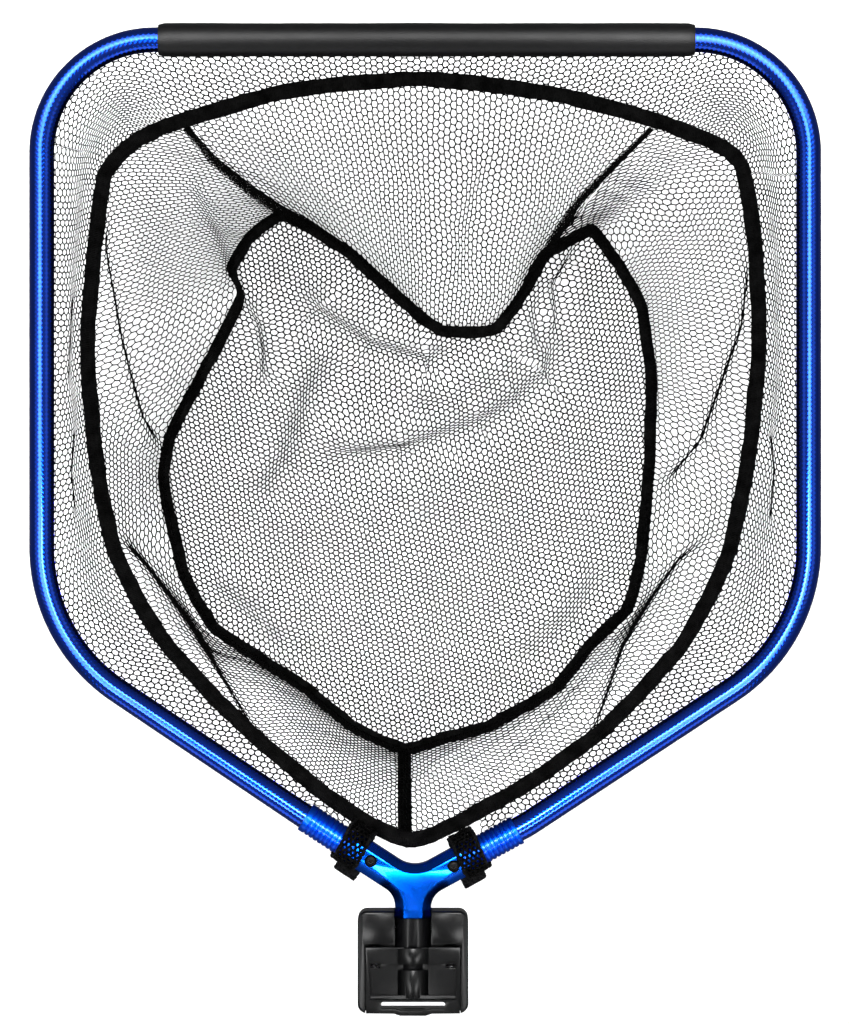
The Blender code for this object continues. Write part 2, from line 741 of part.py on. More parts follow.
def make_dock_screws(finish):
    for k, (sx, sy) in enumerate(dock_screw_places()):
        seat = Vector((sx, sy, PLATE_BACK + SINK_DEPTH - 0.05 * MM))
        sizes = (1.4 * MM, 7 * MM, 2.8 * MM, 1.4 * MM)
        make_button_screw(f"dock_screw_{k + 1}", seat, (0, 0, -1), finish, *sizes)


def bar_outline(top, inset):
    """The slider's outline from its bulged, faintly crowned lower edge up."""
    x, half, low = YOKE.x, BAR_HALF - inset, BAR_Y[0] + inset
    crown = 0.15 * MM
    return [
        (x - half, low + crown),
        (x - BULGE_HALF - 4 * MM, low),
        (x - BULGE_HALF, low - BULGE),
        (x + BULGE_HALF, low - BULGE),
        (x + BULGE_HALF + 4 * MM, low),
        (x + half, low + crown),
        (x + half, top),
        (x - half, top),
    ]


def make_release_slider(finish):
    """Crossbar arched over the spigot, side rails, legs and finger bar."""
    x = YOKE.x
    step = 0.2 * MM
    low, high = DOCK_FRONT - 4.8 * MM, DOCK_FRONT - 0.3 * MM
    slider = plate("release_slider", bar_outline(CROSSBAR_Y[1], 0), low, high, finish)
    window = (BAR_Y[1], CROSSBAR_Y[0]), (low - 1 * MM, high + 1 * MM)
    change(slider, dock_box("slider_window", BAR_HALF - RAIL_WIDTH, *window))
    bar = plate("finger_bar", bar_outline(BAR_Y[1] - step, step), HOOP_Z - 3 * MM, high - step)
    change(slider, bar, "UNION")
    for way, side in ((-1, "left"), (1, "right")):
        leg = sorted((x + way * LEG_X[0], x + way * LEG_X[1]))
        foot = box(
            "leg_" + side,
            (leg[0], CROSSBAR_Y[0] + step, HOOP_Z - 1.4 * MM),
            (leg[1], CROSSBAR_Y[1] - step, high - step),
        )
        change(slider, foot, "UNION")
    ends = (CROSSBAR_Y[0] + step, CROSSBAR_Y[1] - step)
    arch = rod("arch", *(at(Vector((x, y))) for y in ends), ARCH_R, sides=24)
    change(slider, arch, "UNION")
    wide = (at(Vector((x, y))) for y in (CROSSBAR_Y[0] - 1 * MM, CROSSBAR_Y[1] + 1 * MM))
    change(slider, rod("arch_bore", *wide, SPIGOT_R + RUNNING + GAP, sides=24))
    under = (CROSSBAR_Y[0] - 1 * MM, CROSSBAR_Y[1] + 1 * MM), (HOOP_Z - 20 * MM, low + step)
    change(slider, dock_box("arch_foot", ARCH_R + 1 * MM, *under))
    slot = rounded(
        [
            (x - SLOT_HALF, SLOT_Y[0], 1.8 * MM, 4),
            (x - SLOT_HALF, SLOT_Y[1], 1.8 * MM, 4),
            (x + SLOT_HALF, SLOT_Y[1], 1.8 * MM, 4),
            (x + SLOT_HALF, SLOT_Y[0], 1.8 * MM, 4),
            (x + BULGE_HALF + 3 * MM, SLOT_Y[0], 0, 0),
            (x + BULGE_HALF - 1 * MM, SLOT_Y[0] - BULGE, 0, 0),
            (x - BULGE_HALF + 1 * MM, SLOT_Y[0] - BULGE, 0, 0),
            (x - BULGE_HALF - 3 * MM, SLOT_Y[0], 0, 0),
        ]
    )
    change(slider, plate("strap_slot", slot, HOOP_Z - 10 * MM, high + 5 * MM))


def make_lock_pin(way, finish):
    """Tip in the spigot's side groove, a flange, and a tail in the spring."""
    tip = SPIGOT_R - SIDE_GROOVE_DEPTH + GAP
    flange = 14.4 * MM - tip
    profile = [
        (0, 0),
        (PIN_R, 0),
        (PIN_R, flange),
        (POCKET_R - GAP, flange),
        (POCKET_R - GAP, flange + 1.4 * MM),
        (1 * MM, flange + 1.4 * MM),
        (1 * MM, flange + 8 * MM),
        (0, flange + 8 * MM),
    ]
    side = "left" if way < 0 else "right"
    start = Vector((YOKE.x + way * tip, PIN_Y, HOOP_Z))
    weld_axis(turned("lock_pin_" + side, profile[::-1], start, (way, 0, 0), finish, sides=20))


def make_spring(name, start, end, coil_r, wire_r, turns, finish):
    """A coil of wire between two points."""
    start, end = Vector(start), Vector(end)
    along = end - start
    turn = along.to_track_quat("Z", "Y").to_matrix()
    per_turn = 8
    count = turns * per_turn + 1
    curve = bpy.data.curves.new(name, "CURVE")
    curve.dimensions = "3D"
    curve.bevel_depth = wire_r
    curve.bevel_resolution = 0
    curve.use_fill_caps = True
    spline = curve.splines.new("POLY")
    spline.points.add(count - 1)
    for k, point in enumerate(spline.points):
        angle = 2 * math.pi * k / per_turn
        share = wire_r / along.length
        height = along.length * (share + (1 - 2 * share) * k / (count - 1))
        local = Vector((coil_r * math.cos(angle), coil_r * math.sin(angle), height))
        point.co = (*(start + turn @ local), 1)
    guide = bpy.data.objects.new(name + "_guide", curve)
    PARTS.objects.link(guide)
    as_mesh(guide, name, finish)


def make_springs(finish):
    x = YOKE.x
    for way, side in ((-1, "left"), (1, "right")):
        spring_x = x + way * (LEG_X[0] + LEG_X[1]) / 2
        z = HOOP_Z + SPRING_UP
        start = (spring_x, CROSSBAR_Y[0] - GAP, z)
        end = (spring_x, SPRING_BORE_Y + GAP, z)
        make_spring("slider_spring_" + side, start, end, 1.7 * MM, WIRE_R, 6, finish)
        start = (x + way * 16.1 * MM, PIN_Y, HOOP_Z)
        end = (x + way * (PIN_POCKET_X[1] - GAP), PIN_Y, HOOP_Z)
        make_spring("lock_spring_" + side, start, end, 2 * MM, WIRE_R, 5, finish)


# ------------------------------------------------------------- soft parts


def tape_loop(name, outline, half, z_low, finish):
    """A flat tape along a closed outline."""
    path = smooth_loop(outline)
    section = [(-half, 0), (half, 0), (half, TAPE), (-half, TAPE)]
    skin(name, swept(path, side_ways(path, True), section, z_low), finish, closed=True)


def span(loop, first, last):
    """The points of a closed loop from one index to another."""
    count = len(loop)
    last = last if last > first else last + count
    return [loop[i % count] for i in range(first, last + 1)]


def seam_ends():
    """Each wall seam's top and bottom points, and its unit width direction."""
    rim, base = smooth_loop(RIM_OUTLINE), smooth_loop(BASE_OUTLINE)
    seams = {}
    for name, i, j in (
        ("rear", 0, 0),
        ("front_left", RIM_SEAMS["front_left"], BASE_SEAMS["front_left"]),
        ("front_right", RIM_SEAMS["front_right"], BASE_SEAMS["front_right"]),
    ):
        top, bottom = rim[i * STEPS], base[j * STEPS]
        run = (bottom - top).normalized()
        # The width points forwards along the loops: left, up, right, down.
        seams[name] = (top, bottom, Vector((-run.y, run.x)) if name != "rear" else Vector((-1, 0)))
    return seams


def wall(name, start, end, columns, rows, finish):
    """A cloth wall between two seams, from the rim down to the base."""
    seams = seam_ends()
    rim, base = smooth_loop(RIM_OUTLINE), smooth_loop(BASE_OUTLINE)
    marks = {"rear": (0, 0)}
    for key in RIM_SEAMS:
        marks[key] = (RIM_SEAMS[key] * STEPS, BASE_SEAMS[key] * STEPS)
    edge = SEAM_HALF + 1.6 * MM
    lines = []
    for loop, k in ((rim, 0), (base, 1)):
        line = resample(span(loop, marks[start][k], marks[end][k]), columns)
        line[0] = seams[start][k] + seams[start][2] * edge
        line[-1] = seams[end][k] - seams[end][2] * edge
        lines.append(line)
    top_z, bottom_z = RIM_Z - 0.9 * MM, CLOTH + GAP + TAPE + 0.9 * MM
    grid = []
    for r in range(rows + 1):
        share = r / rows
        z = top_z + (bottom_z - top_z) * share
        grid.append([Vector((*a.lerp(b, share), z)) for a, b in zip(*lines)])
    solidify(skin(name, grid, finish, round_section=False, smooth_angle=60), CLOTH)


def make_seam_tape(name, key, finish):
    """A tape over a wall seam, short of the tapes above and below it."""
    top, bottom, wide = seam_ends()[key]
    top_z, bottom_z = RIM_Z - 1.2 * MM, CLOTH + GAP + TAPE + 1.2 * MM
    run = Vector((*(bottom - top), bottom_z - top_z))
    across = Vector((*wide, 0))
    thick = run.cross(across).normalized() * TAPE / 2
    rings = []
    for k in range(5):
        share = k / 4
        middle = Vector((*top.lerp(bottom, share), top_z + (bottom_z - top_z) * share))
        rings.append(
            [
                middle - across * SEAM_HALF - thick,
                middle + across * SEAM_HALF - thick,
                middle + across * SEAM_HALF + thick,
                middle - across * SEAM_HALF + thick,
            ]
        )
    skin(name, rings, finish)


def make_base_panel(finish):
    """The bag's floor, a little wider than the tape that binds it."""
    path = smooth_loop(BASE_OUTLINE)
    spread = [p - s * 3 * MM for p, s in zip(path, side_ways(path, True))]
    plate("base_panel", spread, 0, CLOTH, finish)


def make_rim_band(finish):
    """Mesh from the tube's channel in to the rim tape."""
    rim = smooth_loop(RIM_OUTLINE, 12)
    outward = [p - s * (RIM_TAPE_HALF + 0.6 * MM) for p, s in zip(rim, side_ways(rim, True))]
    run = rim_run()
    ends = [arm_point("left", d) for d in (58 * MM, 70 * MM, COLLAR_END["left"] + 1.5 * MM)]
    far = [arm_point("right", d) for d in (COLLAR_END["right"] + 1.5 * MM, 64 * MM, 52 * MM)]
    dense = []
    for a, b in zip(run, run[1:]):
        pieces = max(1, round((b - a).length / (26 * MM)))
        dense += [a.lerp(b, k / pieces) for k in range(pieces)]
    path = ends + dense + [run[-1]] + far
    in_channel = [BEAD_INSET + BEAD_R + GAP] * (len(dense) + 1)
    insets = [12 * MM] * 3 + in_channel + [12 * MM] * 3
    outer, inner = [], []
    for point, side, inset in zip(path, side_ways(path, False), insets):
        outer.append(Vector((*(point + side * inset), HOOP_Z)))
        near = min(outward, key=lambda p: (p - point).length)
        inner.append(Vector((*near, RIM_Z + TAPE / 2)))
    middle = []
    for a, b, point, side, inset in zip(outer, inner, path, side_ways(path, False), insets):
        lip = point + side * max(inset + 0.4 * MM, TUBE_R + 1.4 * MM)
        middle.append(Vector((*lip, HOOP_Z)))
    # The mesh leaves the channel level and only then slopes to the tape.
    solidify(skin("rim_band", [outer, middle, inner], finish, round_section=False), 0.8 * MM)


def make_strap(side, finish, tab_finish):
    """A loop of hook-and-loop tape round the joint of arm and collar."""
    start = STRAP_AT[side] - STRAP_WIDTH / 2
    profile = [
        (STRAP_R, 0),
        (STRAP_R, STRAP_WIDTH),
        (STRAP_R + TAPE, STRAP_WIDTH),
        (STRAP_R + TAPE, 0),
    ]
    along = at(arm_point(side, 1)) - at(arm_point(side, 0))
    turned("strap_" + side, profile, at(arm_point(side, start)), along, finish, sides=24)
    reach = STRAP_R + TAPE + GAP
    middle = at(arm_point(side, STRAP_AT[side], -(reach + TAB_SIZE[1] / 2)))
    half = [width / 2 for width in TAB_SIZE]
    tab = box("strap_tab_" + side, [-width for width in half], half, tab_finish)
    angle = math.radians(LEFT_ARM_DEG if side == "left" else RIGHT_ARM_DEG)
    tab.matrix_world = Matrix.Translation(middle) @ Matrix.Rotation(angle, 4, "Z")


def build():
    blue = material("anodised_blue", (0.0, 0.07, 0.55), 0.22, 0.9)
    bright = material("yoke_blue", (0.0, 0.16, 0.95), 0.3, 0.8)
    foam = material("black_foam", (0.015, 0.015, 0.016), 0.7)
    mesh = material("black_mesh", (0.012, 0.012, 0.012), 0.8)
    tape = material("black_tape", (0.01, 0.01, 0.01), 0.85)
    nylon = material("black_nylon", (0.02, 0.021, 0.023), 0.45)
    acetal = material("black_acetal", (0.008, 0.008, 0.009), 0.3)
    steel = material("black_steel", (0.02, 0.02, 0.02), 0.35, 0.8)
    spring = material("spring_steel", (0.55, 0.56, 0.58), 0.3, 1.0)
    loop = material("hook_and_loop", (0.012, 0.012, 0.013), 0.95)
    cord = material("bead_cord", (0.03, 0.03, 0.03), 0.6)

    make_hoop_tube(blue)
    make_edge_bead(cord)
    make_foam_sleeve(foam)
    for side in ("left", "right"):
        make_collar(side, blue)
        make_strap(side, mesh, loop)
    make_yoke(bright)
    make_yoke_screws(steel)
    make_spigot(acetal)
    make_spigot_screw(steel)
    make_dock_body(nylon)
    make_dock_back_plate(nylon)
    make_dock_screws(steel)
    make_release_slider(nylon)
    for way in (-1, 1):
        make_lock_pin(way, steel)
    make_springs(spring)
    make_rim_band(mesh)
    tape_loop("rim_tape", RIM_OUTLINE, RIM_TAPE_HALF, RIM_Z, tape)
    wall("left_panel", "rear", "front_left", 22, 4, mesh)
    wall("front_panel", "front_left", "front_right", 14, 4, mesh)
    wall("right_panel", "front_right", "rear", 24, 4, mesh)
    make_base_panel(mesh)
    tape_loop("base_tape", BASE_OUTLINE, BASE_TAPE_HALF, CLOTH + GAP, tape)
    make_seam_tape("rear_seam_tape", "rear", tape)
    make_seam_tape("front_left_seam_tape", "front_left", tape)
    make_seam_tape("front_right_seam_tape", "front_right", tape)


clear_scene()
PARTS = collection("landing_net")
CUTTERS = collection("cutters", hidden=True)
build()
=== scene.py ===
"""Looks of the landing net head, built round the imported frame, in metres."""

import json
import math

import bmesh
import bpy
import numpy as np
from mathutils import Matrix, Vector


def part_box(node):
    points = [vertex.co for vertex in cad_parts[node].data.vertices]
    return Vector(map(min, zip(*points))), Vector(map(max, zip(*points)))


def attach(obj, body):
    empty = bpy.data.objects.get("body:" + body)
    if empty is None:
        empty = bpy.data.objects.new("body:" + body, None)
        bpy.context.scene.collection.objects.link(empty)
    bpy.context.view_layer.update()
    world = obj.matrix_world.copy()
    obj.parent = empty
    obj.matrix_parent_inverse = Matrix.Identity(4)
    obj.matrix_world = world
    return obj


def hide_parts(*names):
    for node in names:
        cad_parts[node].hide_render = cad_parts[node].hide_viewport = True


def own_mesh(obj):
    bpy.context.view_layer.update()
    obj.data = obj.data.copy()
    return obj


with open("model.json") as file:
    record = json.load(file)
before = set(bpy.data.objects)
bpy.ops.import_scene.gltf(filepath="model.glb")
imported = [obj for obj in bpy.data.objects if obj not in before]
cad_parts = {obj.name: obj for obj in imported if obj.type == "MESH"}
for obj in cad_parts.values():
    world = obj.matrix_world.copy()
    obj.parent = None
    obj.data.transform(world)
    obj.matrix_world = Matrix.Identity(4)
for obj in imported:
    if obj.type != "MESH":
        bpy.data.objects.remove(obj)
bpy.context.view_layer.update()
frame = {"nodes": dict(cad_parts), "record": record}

MM = 0.001

# ------------------------------------------------ places read from the frame

SPIGOT_LOW, SPIGOT_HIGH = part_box("spigot")
HOOP_LOW, HOOP_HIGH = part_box("hoop_tube")
FOAM_LOW, FOAM_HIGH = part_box("foam_sleeve")
DOCK_LOW, DOCK_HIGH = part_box("dock_body")
PLATE_LOW, PLATE_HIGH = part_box("dock_back_plate")
SLIDER_LOW, SLIDER_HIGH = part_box("release_slider")
RIM_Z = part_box("rim_tape")[0].z
BASE_TAPE_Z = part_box("base_tape")[0].z

HOOP_Z = (SPIGOT_LOW.z + SPIGOT_HIGH.z) / 2
YOKE_X = (SPIGOT_LOW.x + SPIGOT_HIGH.x) / 2
TUBE_R = 8 * MM
HALF_WIDTH = HOOP_HIGH.x - TUBE_R
TOP_Y = (FOAM_LOW.y + FOAM_HIGH.y) / 2
YOKE = Vector((YOKE_X, -236 * MM))

# ------------------------------------------------------- driving dimensions

TOP_RADIUS = 72 * MM
LOWER_Y = -78 * MM
LOWER_RADIUS = 110 * MM
KNEE_RADIUS = 90 * MM
TUBE_WALL = 1.4 * MM
CHANNEL_HALF = 1.2 * MM
LEFT_ARM_DEG = 180 - 33.1
RIGHT_ARM_DEG = 28.7
ARM_HALF = 10.2 * MM
ARM_LENGTH = {"left": 46.5 * MM, "right": 38.5 * MM}
COLLAR_END = {"left": 82 * MM, "right": 76 * MM}
SOCKET_FROM = 24 * MM
SCREW_AT = {"left": 32 * MM, "right": 29.6 * MM}
STRAP_AT = {"left": 46.5 * MM, "right": 42 * MM}
STEM_HALF = 11.5 * MM
STEM_END_Y = -254.9 * MM
YOKE_CHAMFER = 5.6 * MM
COLLAR_R = 9.6 * MM
RIB_PITCH = 3.2 * MM
FOAM_R = 10.7 * MM
SPIGOT_R = 11.25 * MM
SPIGOT_TIP_R = 8 * MM
SHOULDER_Y = -284.3 * MM
SPIGOT_TIP_Y = -304 * MM
DOCK_CORNER = 6 * MM
RUNNING = 0.4 * MM

# The camera's height over the hoop, and its small shifts from the middle.
CAMERA_UP = 2.4
CAMERA_X = -0.00045
CAMERA_Y = 0.0035
CAMERA_LENS = 132.05
STRIP_UP = 0.45

# Netting: knotless hexagons, the distance across flats and the thread.
PITCH = 4.3 * MM
BASE_PITCH = 3.75 * MM
SEAM_PITCH = 2.3 * MM
STRAP_PITCH = 3.0 * MM
THREAD = 0.80 * MM
SEAM_THREAD = 0.7 * MM
STRAP_THREAD = 1.2 * MM
RIM_TAPE_HALF = 5 * MM
BASE_TAPE_HALF = 4.0 * MM
TAPE = 1.2 * MM
STITCH_IN = 3.7 * MM
STRAP_WIDTH = 15 * MM
STRAP_R = 11.2 * MM
STRAP_LAYER = 0.9 * MM
# A strap's loop is wider across the arm than up and down.
STRAP_ACROSS = 1.18

# How tightly each outline's curve keeps to the straight lines of its knots.
RIM_TIGHT = 0.25
BASE_TIGHT = 0.5

# The bag's two outlines in millimetres, from the back seam up the left side.
RIM_OUTLINE = [
    (-13, -206), (-63, -178), (-126, -124), (-172, -72), (-200, -17),
    (-212, 50), (-216, 115), (-210, 185), (-204, 221), (-184, 241.6),
    (-155, 254), (-84, 273.5), (0, 280.4), (84, 270.5), (147, 254),
    (188, 238), (203, 223), (211, 174), (213.5, 110), (207, 40),
    (193.5, -24), (165, -80), (117, -132.6), (69, -168), (21, -195),
]  # fmt: skip
BASE_OUTLINE = [
    (-14, -156), (-49, -140.5), (-80, -115), (-110.6, -95.4), (-143, -73),
    (-163, -36), (-176, 25), (-170, 58), (-145.7, 104), (-124.5, 147),
    (-129.8, 168), (-117, 189), (-95, 203), (-53, 179), (-13.7, 144),
    (11, 125.5), (46, 126), (64, 147), (80, 176), (98, 186.5),
    (112.5, 193), (130, 170), (145, 143), (152, 95), (151, 40),
    (145.4, -25), (136.5, -60.4), (110, -87), (88, -114.4), (44, -139.8),
    (11, -149),
]  # fmt: skip
FINE = 10


# ----------------------------------------------------------------- materials


class Nodes:
    """A short way to write a procedural material's node tree."""

    def __init__(self, name):
        self.material = bpy.data.materials.new(name)
        self.material.use_nodes = True
        self.tree = self.material.node_tree
        self.shader = self.tree.nodes["Principled BSDF"]

    def set(self, **values):
        for key, value in values.items():
            self.shader.inputs[key.replace("_", " ")].default_value = value
        return self

    def add(self, kind, settings=None, **inputs):
        node = self.tree.nodes.new(kind)
        for key, value in (settings or {}).items():
            setattr(node, key, value)
        for key, value in inputs.items():
            self.feed(node, key.replace("_", " "), value)
        return node

    def feed(self, node, key, value):
        socket = node.inputs[int(key[1:])] if key[0] == "i" and key[1:].isdigit() else node.inputs[key]
        if isinstance(value, bpy.types.NodeSocket):
            self.tree.links.new(value, socket)
        else:
            socket.default_value = value

    def coords(self, kind="Object", scale=None):
        out = self.add("ShaderNodeTexCoord").outputs[kind]
        if scale is None:
            return out
        return self.add("ShaderNodeMapping", Vector=out, Scale=scale).outputs[0]

    def noise(self, vector, scale, detail=3.0, roughness=0.55):
        node = self.add(
            "ShaderNodeTexNoise", Vector=vector, Scale=scale, Detail=detail, Roughness=roughness
        )
        return node.outputs["Fac"]

    def ramp(self, fac, stops):
        node = self.add("ShaderNodeValToRGB", Fac=fac)
        ends = node.color_ramp.elements
        while len(ends) < len(stops):
            ends.new(0.5)
        for end, (place, value) in zip(ends, stops):
            end.position = place
            end.color = (*value, 1) if hasattr(value, "__len__") else (value, value, value, 1)
        return node.outputs["Color"]

    def math(self, operation, a, b=0.5):
        return self.add("ShaderNodeMath", {"operation": operation}, i0=a, i1=b).outputs[0]

    def mix(self, fac, a, b):
        node = self.add("ShaderNodeMix", {"data_type": "RGBA"}, Factor=fac)
        for index, value in ((6, a), (7, b)):
            if isinstance(value, bpy.types.NodeSocket):
                self.tree.links.new(value, node.inputs[index])
            else:
                node.inputs[index].default_value = (*value, 1)
        return node.outputs[2]

    def colour(self, value):
        self.feed(self.shader, "Base Color", value)
        return self

    def rough(self, value):
        self.feed(self.shader, "Roughness", value)
        return self

    def bump(self, height, strength, distance):
        node = self.add("ShaderNodeBump", Height=height, Strength=strength, Distance=distance)
        self.feed(self.shader, "Normal", node.outputs[0])
        return self


def anodised(name, low, high, roughness, gloss, marks):
    """Dyed, polished aluminium: drawn lines, dye mottling and fine scuffs."""
    n = Nodes(name).set(Metallic=1.0, Coat_Weight=gloss, Coat_Roughness=0.05)
    place = n.coords()
    mottle = n.noise(place, 26.0, 4.0)
    n.colour(n.mix(n.ramp(mottle, [(0.35, 0.0), (0.7, 1.0)]), low, high))
    scuff = n.noise(place, 420.0, 6.0, 0.7)
    n.rough(n.ramp(scuff, [(0.45, roughness), (0.75, roughness + 0.04)]))
    fine = n.noise(place, 900.0, 3.0)
    # Rolling marks: shallow dimples in rows along the length and round it.
    split = n.add("ShaderNodeSeparateXYZ", Vector=n.coords("UV"))
    length = n.math("SINE", n.math("MULTIPLY", split.outputs[0], 2 * math.pi / 2.9))
    girth = n.math("SINE", n.math("MULTIPLY", split.outputs[1], 2 * math.pi * 18))
    dimples = n.math("MULTIPLY", length, girth)
    return n.bump(n.math("ADD", n.math("MULTIPLY", fine, 0.15), dimples), marks, 0.0001).material


def foam():
    """Closed-cell foam with fine open pores and faint long scuffs."""
    n = Nodes("foam").set(Specular_IOR_Level=0.4)
    place = n.coords()
    pores = n.add("ShaderNodeTexVoronoi", Vector=place, Scale=1500.0).outputs["Distance"]
    broad = n.noise(place, 60.0, 5.0)
    n.colour(n.mix(broad, (0.0012, 0.0012, 0.0014), (0.004, 0.004, 0.0045)))
    n.rough(n.ramp(broad, [(0.3, 0.36), (0.7, 0.46)]))
    both = n.math("ADD", pores, n.math("MULTIPLY", broad, 0.8))
    return n.bump(both, 0.3, 0.0003).material


def netting():
    """Black coated thread with slight gloss, lint and uneven dye."""
    n = Nodes("netting").set(Specular_IOR_Level=0.03)
    place = n.coords()
    shade = n.noise(place, 240.0, 3.0)
    n.colour(n.ramp(shade, [(0.3, (0.0008, 0.0008, 0.0008)), (0.75, (0.004, 0.004, 0.004))]))
    n.rough(n.ramp(n.noise(place, 800.0), [(0.3, 0.5), (0.7, 0.78)]))
    return n.bump(n.noise(place, 2600.0, 2.0), 0.4, 0.0001).material


def tape_cloth(name, along, across):
    """Woven binding: ribs across the tape, fine weft and worn, furry nap."""
    n = Nodes(name).set(Specular_IOR_Level=0.02)
    place = n.coords()
    uv = n.coords("UV")
    split = n.add("ShaderNodeSeparateXYZ", Vector=uv)
    rib = n.math("SINE", n.math("MULTIPLY", split.outputs[0], 2 * math.pi * along))
    weft = n.math("SINE", n.math("MULTIPLY", split.outputs[1], 2 * math.pi * across))
    weave = n.math("MULTIPLY", rib, weft)
    lint = n.noise(place, 950.0, 5.0, 0.7)
    patch = n.noise(place, 110.0, 4.0)
    shade = n.math("MULTIPLY", n.math("ADD", lint, patch), 0.5)
    n.colour(n.ramp(shade, [(0.42, (0.0006, 0.0006, 0.0006)), (0.66, (0.006, 0.006, 0.006))]))
    n.rough(n.ramp(lint, [(0.3, 0.62), (0.7, 0.92)]))
    height = n.math("ADD", n.math("MULTIPLY", weave, 0.35), lint)
    return n.bump(height, 0.7, 0.0005).material


def moulded(name, colour, roughness, grain):
    """Moulded plastic: spark-eroded grain, faint flow marks, handled sheen."""
    n = Nodes(name).set(Specular_IOR_Level=0.24)
    place = n.coords()
    flow = n.noise(place, 38.0, 4.0)
    light = tuple(c * 1.35 for c in colour)
    n.colour(n.mix(flow, tuple(c * 0.75 for c in colour), light))
    n.rough(n.ramp(n.noise(place, 300.0, 5.0), [(0.3, roughness), (0.7, roughness + 0.03)]))
    return n.bump(n.noise(place, grain, 4.0, 0.6), 0.07, 0.00012).material


def black_steel():
    """Black oxide: dark metal with brown-grey wear on the high spots."""
    n = Nodes("black_steel").set(Metallic=0.9)
    place = n.coords()
    wear = n.noise(place, 900.0, 6.0, 0.7)
    n.colour(n.ramp(wear, [(0.45, (0.002, 0.002, 0.0022)), (0.8, (0.012, 0.0115, 0.011))]))
    n.rough(n.ramp(wear, [(0.3, 0.24), (0.7, 0.45)]))
    return n.bump(wear, 0.15, 0.00008).material


def spring_wire():
    """Drawn spring steel with fine lines."""
    n = Nodes("spring_wire").set(Metallic=1.0)
    place = n.coords()
    lines = n.noise(place, 1500.0, 4.0)
    n.colour(n.mix(lines, (0.42, 0.42, 0.44), (0.62, 0.62, 0.63)))
    n.rough(n.ramp(lines, [(0.3, 0.22), (0.7, 0.4)]))
    return n.bump(lines, 0.1, 0.00004).material


def hook_pile():
    """Hook-and-loop pile: a mat of curled fibres."""
    n = Nodes("hook_pile").set(Specular_IOR_Level=0.05)
    place = n.coords()
    curl = n.add("ShaderNodeTexVoronoi", Vector=place, Scale=1700.0).outputs["Distance"]
    mat = n.noise(place, 700.0, 6.0, 0.75)
    n.colour(n.ramp(mat, [(0.4, (0.0008, 0.0008, 0.0008)), (0.7, (0.014, 0.014, 0.015))]))
    n.rough(n.ramp(curl, [(0.2, 0.75), (0.8, 0.98)]))
    return n.bump(n.math("ADD", mat, curl), 0.9, 0.0006).material


def pale_floor():
    """A pale sheet with a little light coming up through it."""
    n = Nodes("pale_floor").set(Specular_IOR_Level=0.0, Emission_Strength=0.5)
    n.shader.inputs["Emission Color"].default_value = (1, 1, 1, 1)
    shade = n.noise(n.coords(), 3.0, 2.0)
    n.colour(n.mix(shade, (0.93, 0.93, 0.93), (0.96, 0.96, 0.96)))
    return n.rough(0.9).material


# ------------------------------------------------------------ mesh helpers


def add(name, mesh, finish=None, smooth=None):
    """An object of a mesh; without a finish it is a hidden cutter."""
    obj = bpy.data.objects.new(name, mesh)
    if finish is None:
        CUTTERS.objects.link(obj)
        obj.hide_render = True
        obj.hide_viewport = True
    else:
        bpy.context.scene.collection.objects.link(obj)
        mesh.materials.append(finish)
    if smooth:
        mesh.shade_smooth()
        mesh.set_sharp_from_angle(angle=math.radians(smooth))
    return obj


def mesh_of(name, bm):
    """A mesh from a bmesh, with its faces turned outwards."""
    bmesh.ops.recalc_face_normals(bm, faces=bm.faces)
    mesh = bpy.data.meshes.new(name)
    bm.to_mesh(mesh)
    bm.free()
    return mesh


def box(name, low, high, finish=None):
    """A block between two corners."""
    bm = bmesh.new()
    bmesh.ops.create_cube(bm, size=1)
    for v in bm.verts:
        v.co = Vector(low[i] if v.co[i] < 0 else high[i] for i in range(3))
    return add(name, mesh_of(name, bm), finish)


def rod(name, start, end, radius, finish=None, sides=48):
    """A round bar between two points."""
    start, end = Vector(start), Vector(end)
    along = end - start
    bm = bmesh.new()
    bmesh.ops.create_cone(
        bm, cap_ends=True, segments=sides, radius1=radius, radius2=radius, depth=along.length
    )
    turn = along.to_track_quat("Z", "Y").to_matrix().to_4x4()
    bmesh.ops.transform(bm, matrix=Matrix.Translation((start + end) / 2) @ turn, verts=bm.verts)
    return add(name, mesh_of(name, bm), finish)


def turned(name, profile, start, direction, finish, sides=64, smooth=35):
    """A body of revolution from (radius, distance) pairs along an axis."""
    bm = bmesh.new()
    rows = []
    for radius, along in profile:
        if radius == 0:
            rows.append([bm.verts.new((0, 0, along))])
            continue
        angles = [2 * math.pi * k / sides for k in range(sides)]
        rows.append([bm.verts.new((radius * math.cos(a), radius * math.sin(a), along)) for a in angles])
    closed = profile[0][0] > 0
    pairs = list(zip(rows, rows[1:] + rows[:1])) if closed else list(zip(rows, rows[1:]))
    for a, b in pairs:
        for k in range(sides):
            j = (k + 1) % sides
            corners = [a[k % len(a)], a[j % len(a)], b[j % len(b)], b[k % len(b)]]
            unique = list(dict.fromkeys(corners))
            if len(unique) > 2:
                bm.faces.new(unique)
    turn = Vector(direction).to_track_quat("Z", "Y").to_matrix().to_4x4()
    bmesh.ops.transform(bm, matrix=Matrix.Translation(start) @ turn, verts=bm.verts)
    return add(name, mesh_of(name, bm), finish, smooth)


def plate(name, outline, z_low, z_high, finish=None):
    """A flat outline raised between two heights."""
    bm = bmesh.new()
    ring = [bm.verts.new((x, y, z_low)) for x, y in outline]
    face = bm.faces.new(ring)
    top = bmesh.ops.extrude_face_region(bm, geom=[face])["geom"]
    lift = [v for v in top if isinstance(v, bmesh.types.BMVert)]
    bmesh.ops.translate(bm, vec=(0, 0, z_high - z_low), verts=lift)
    return add(name, mesh_of(name, bm), finish)


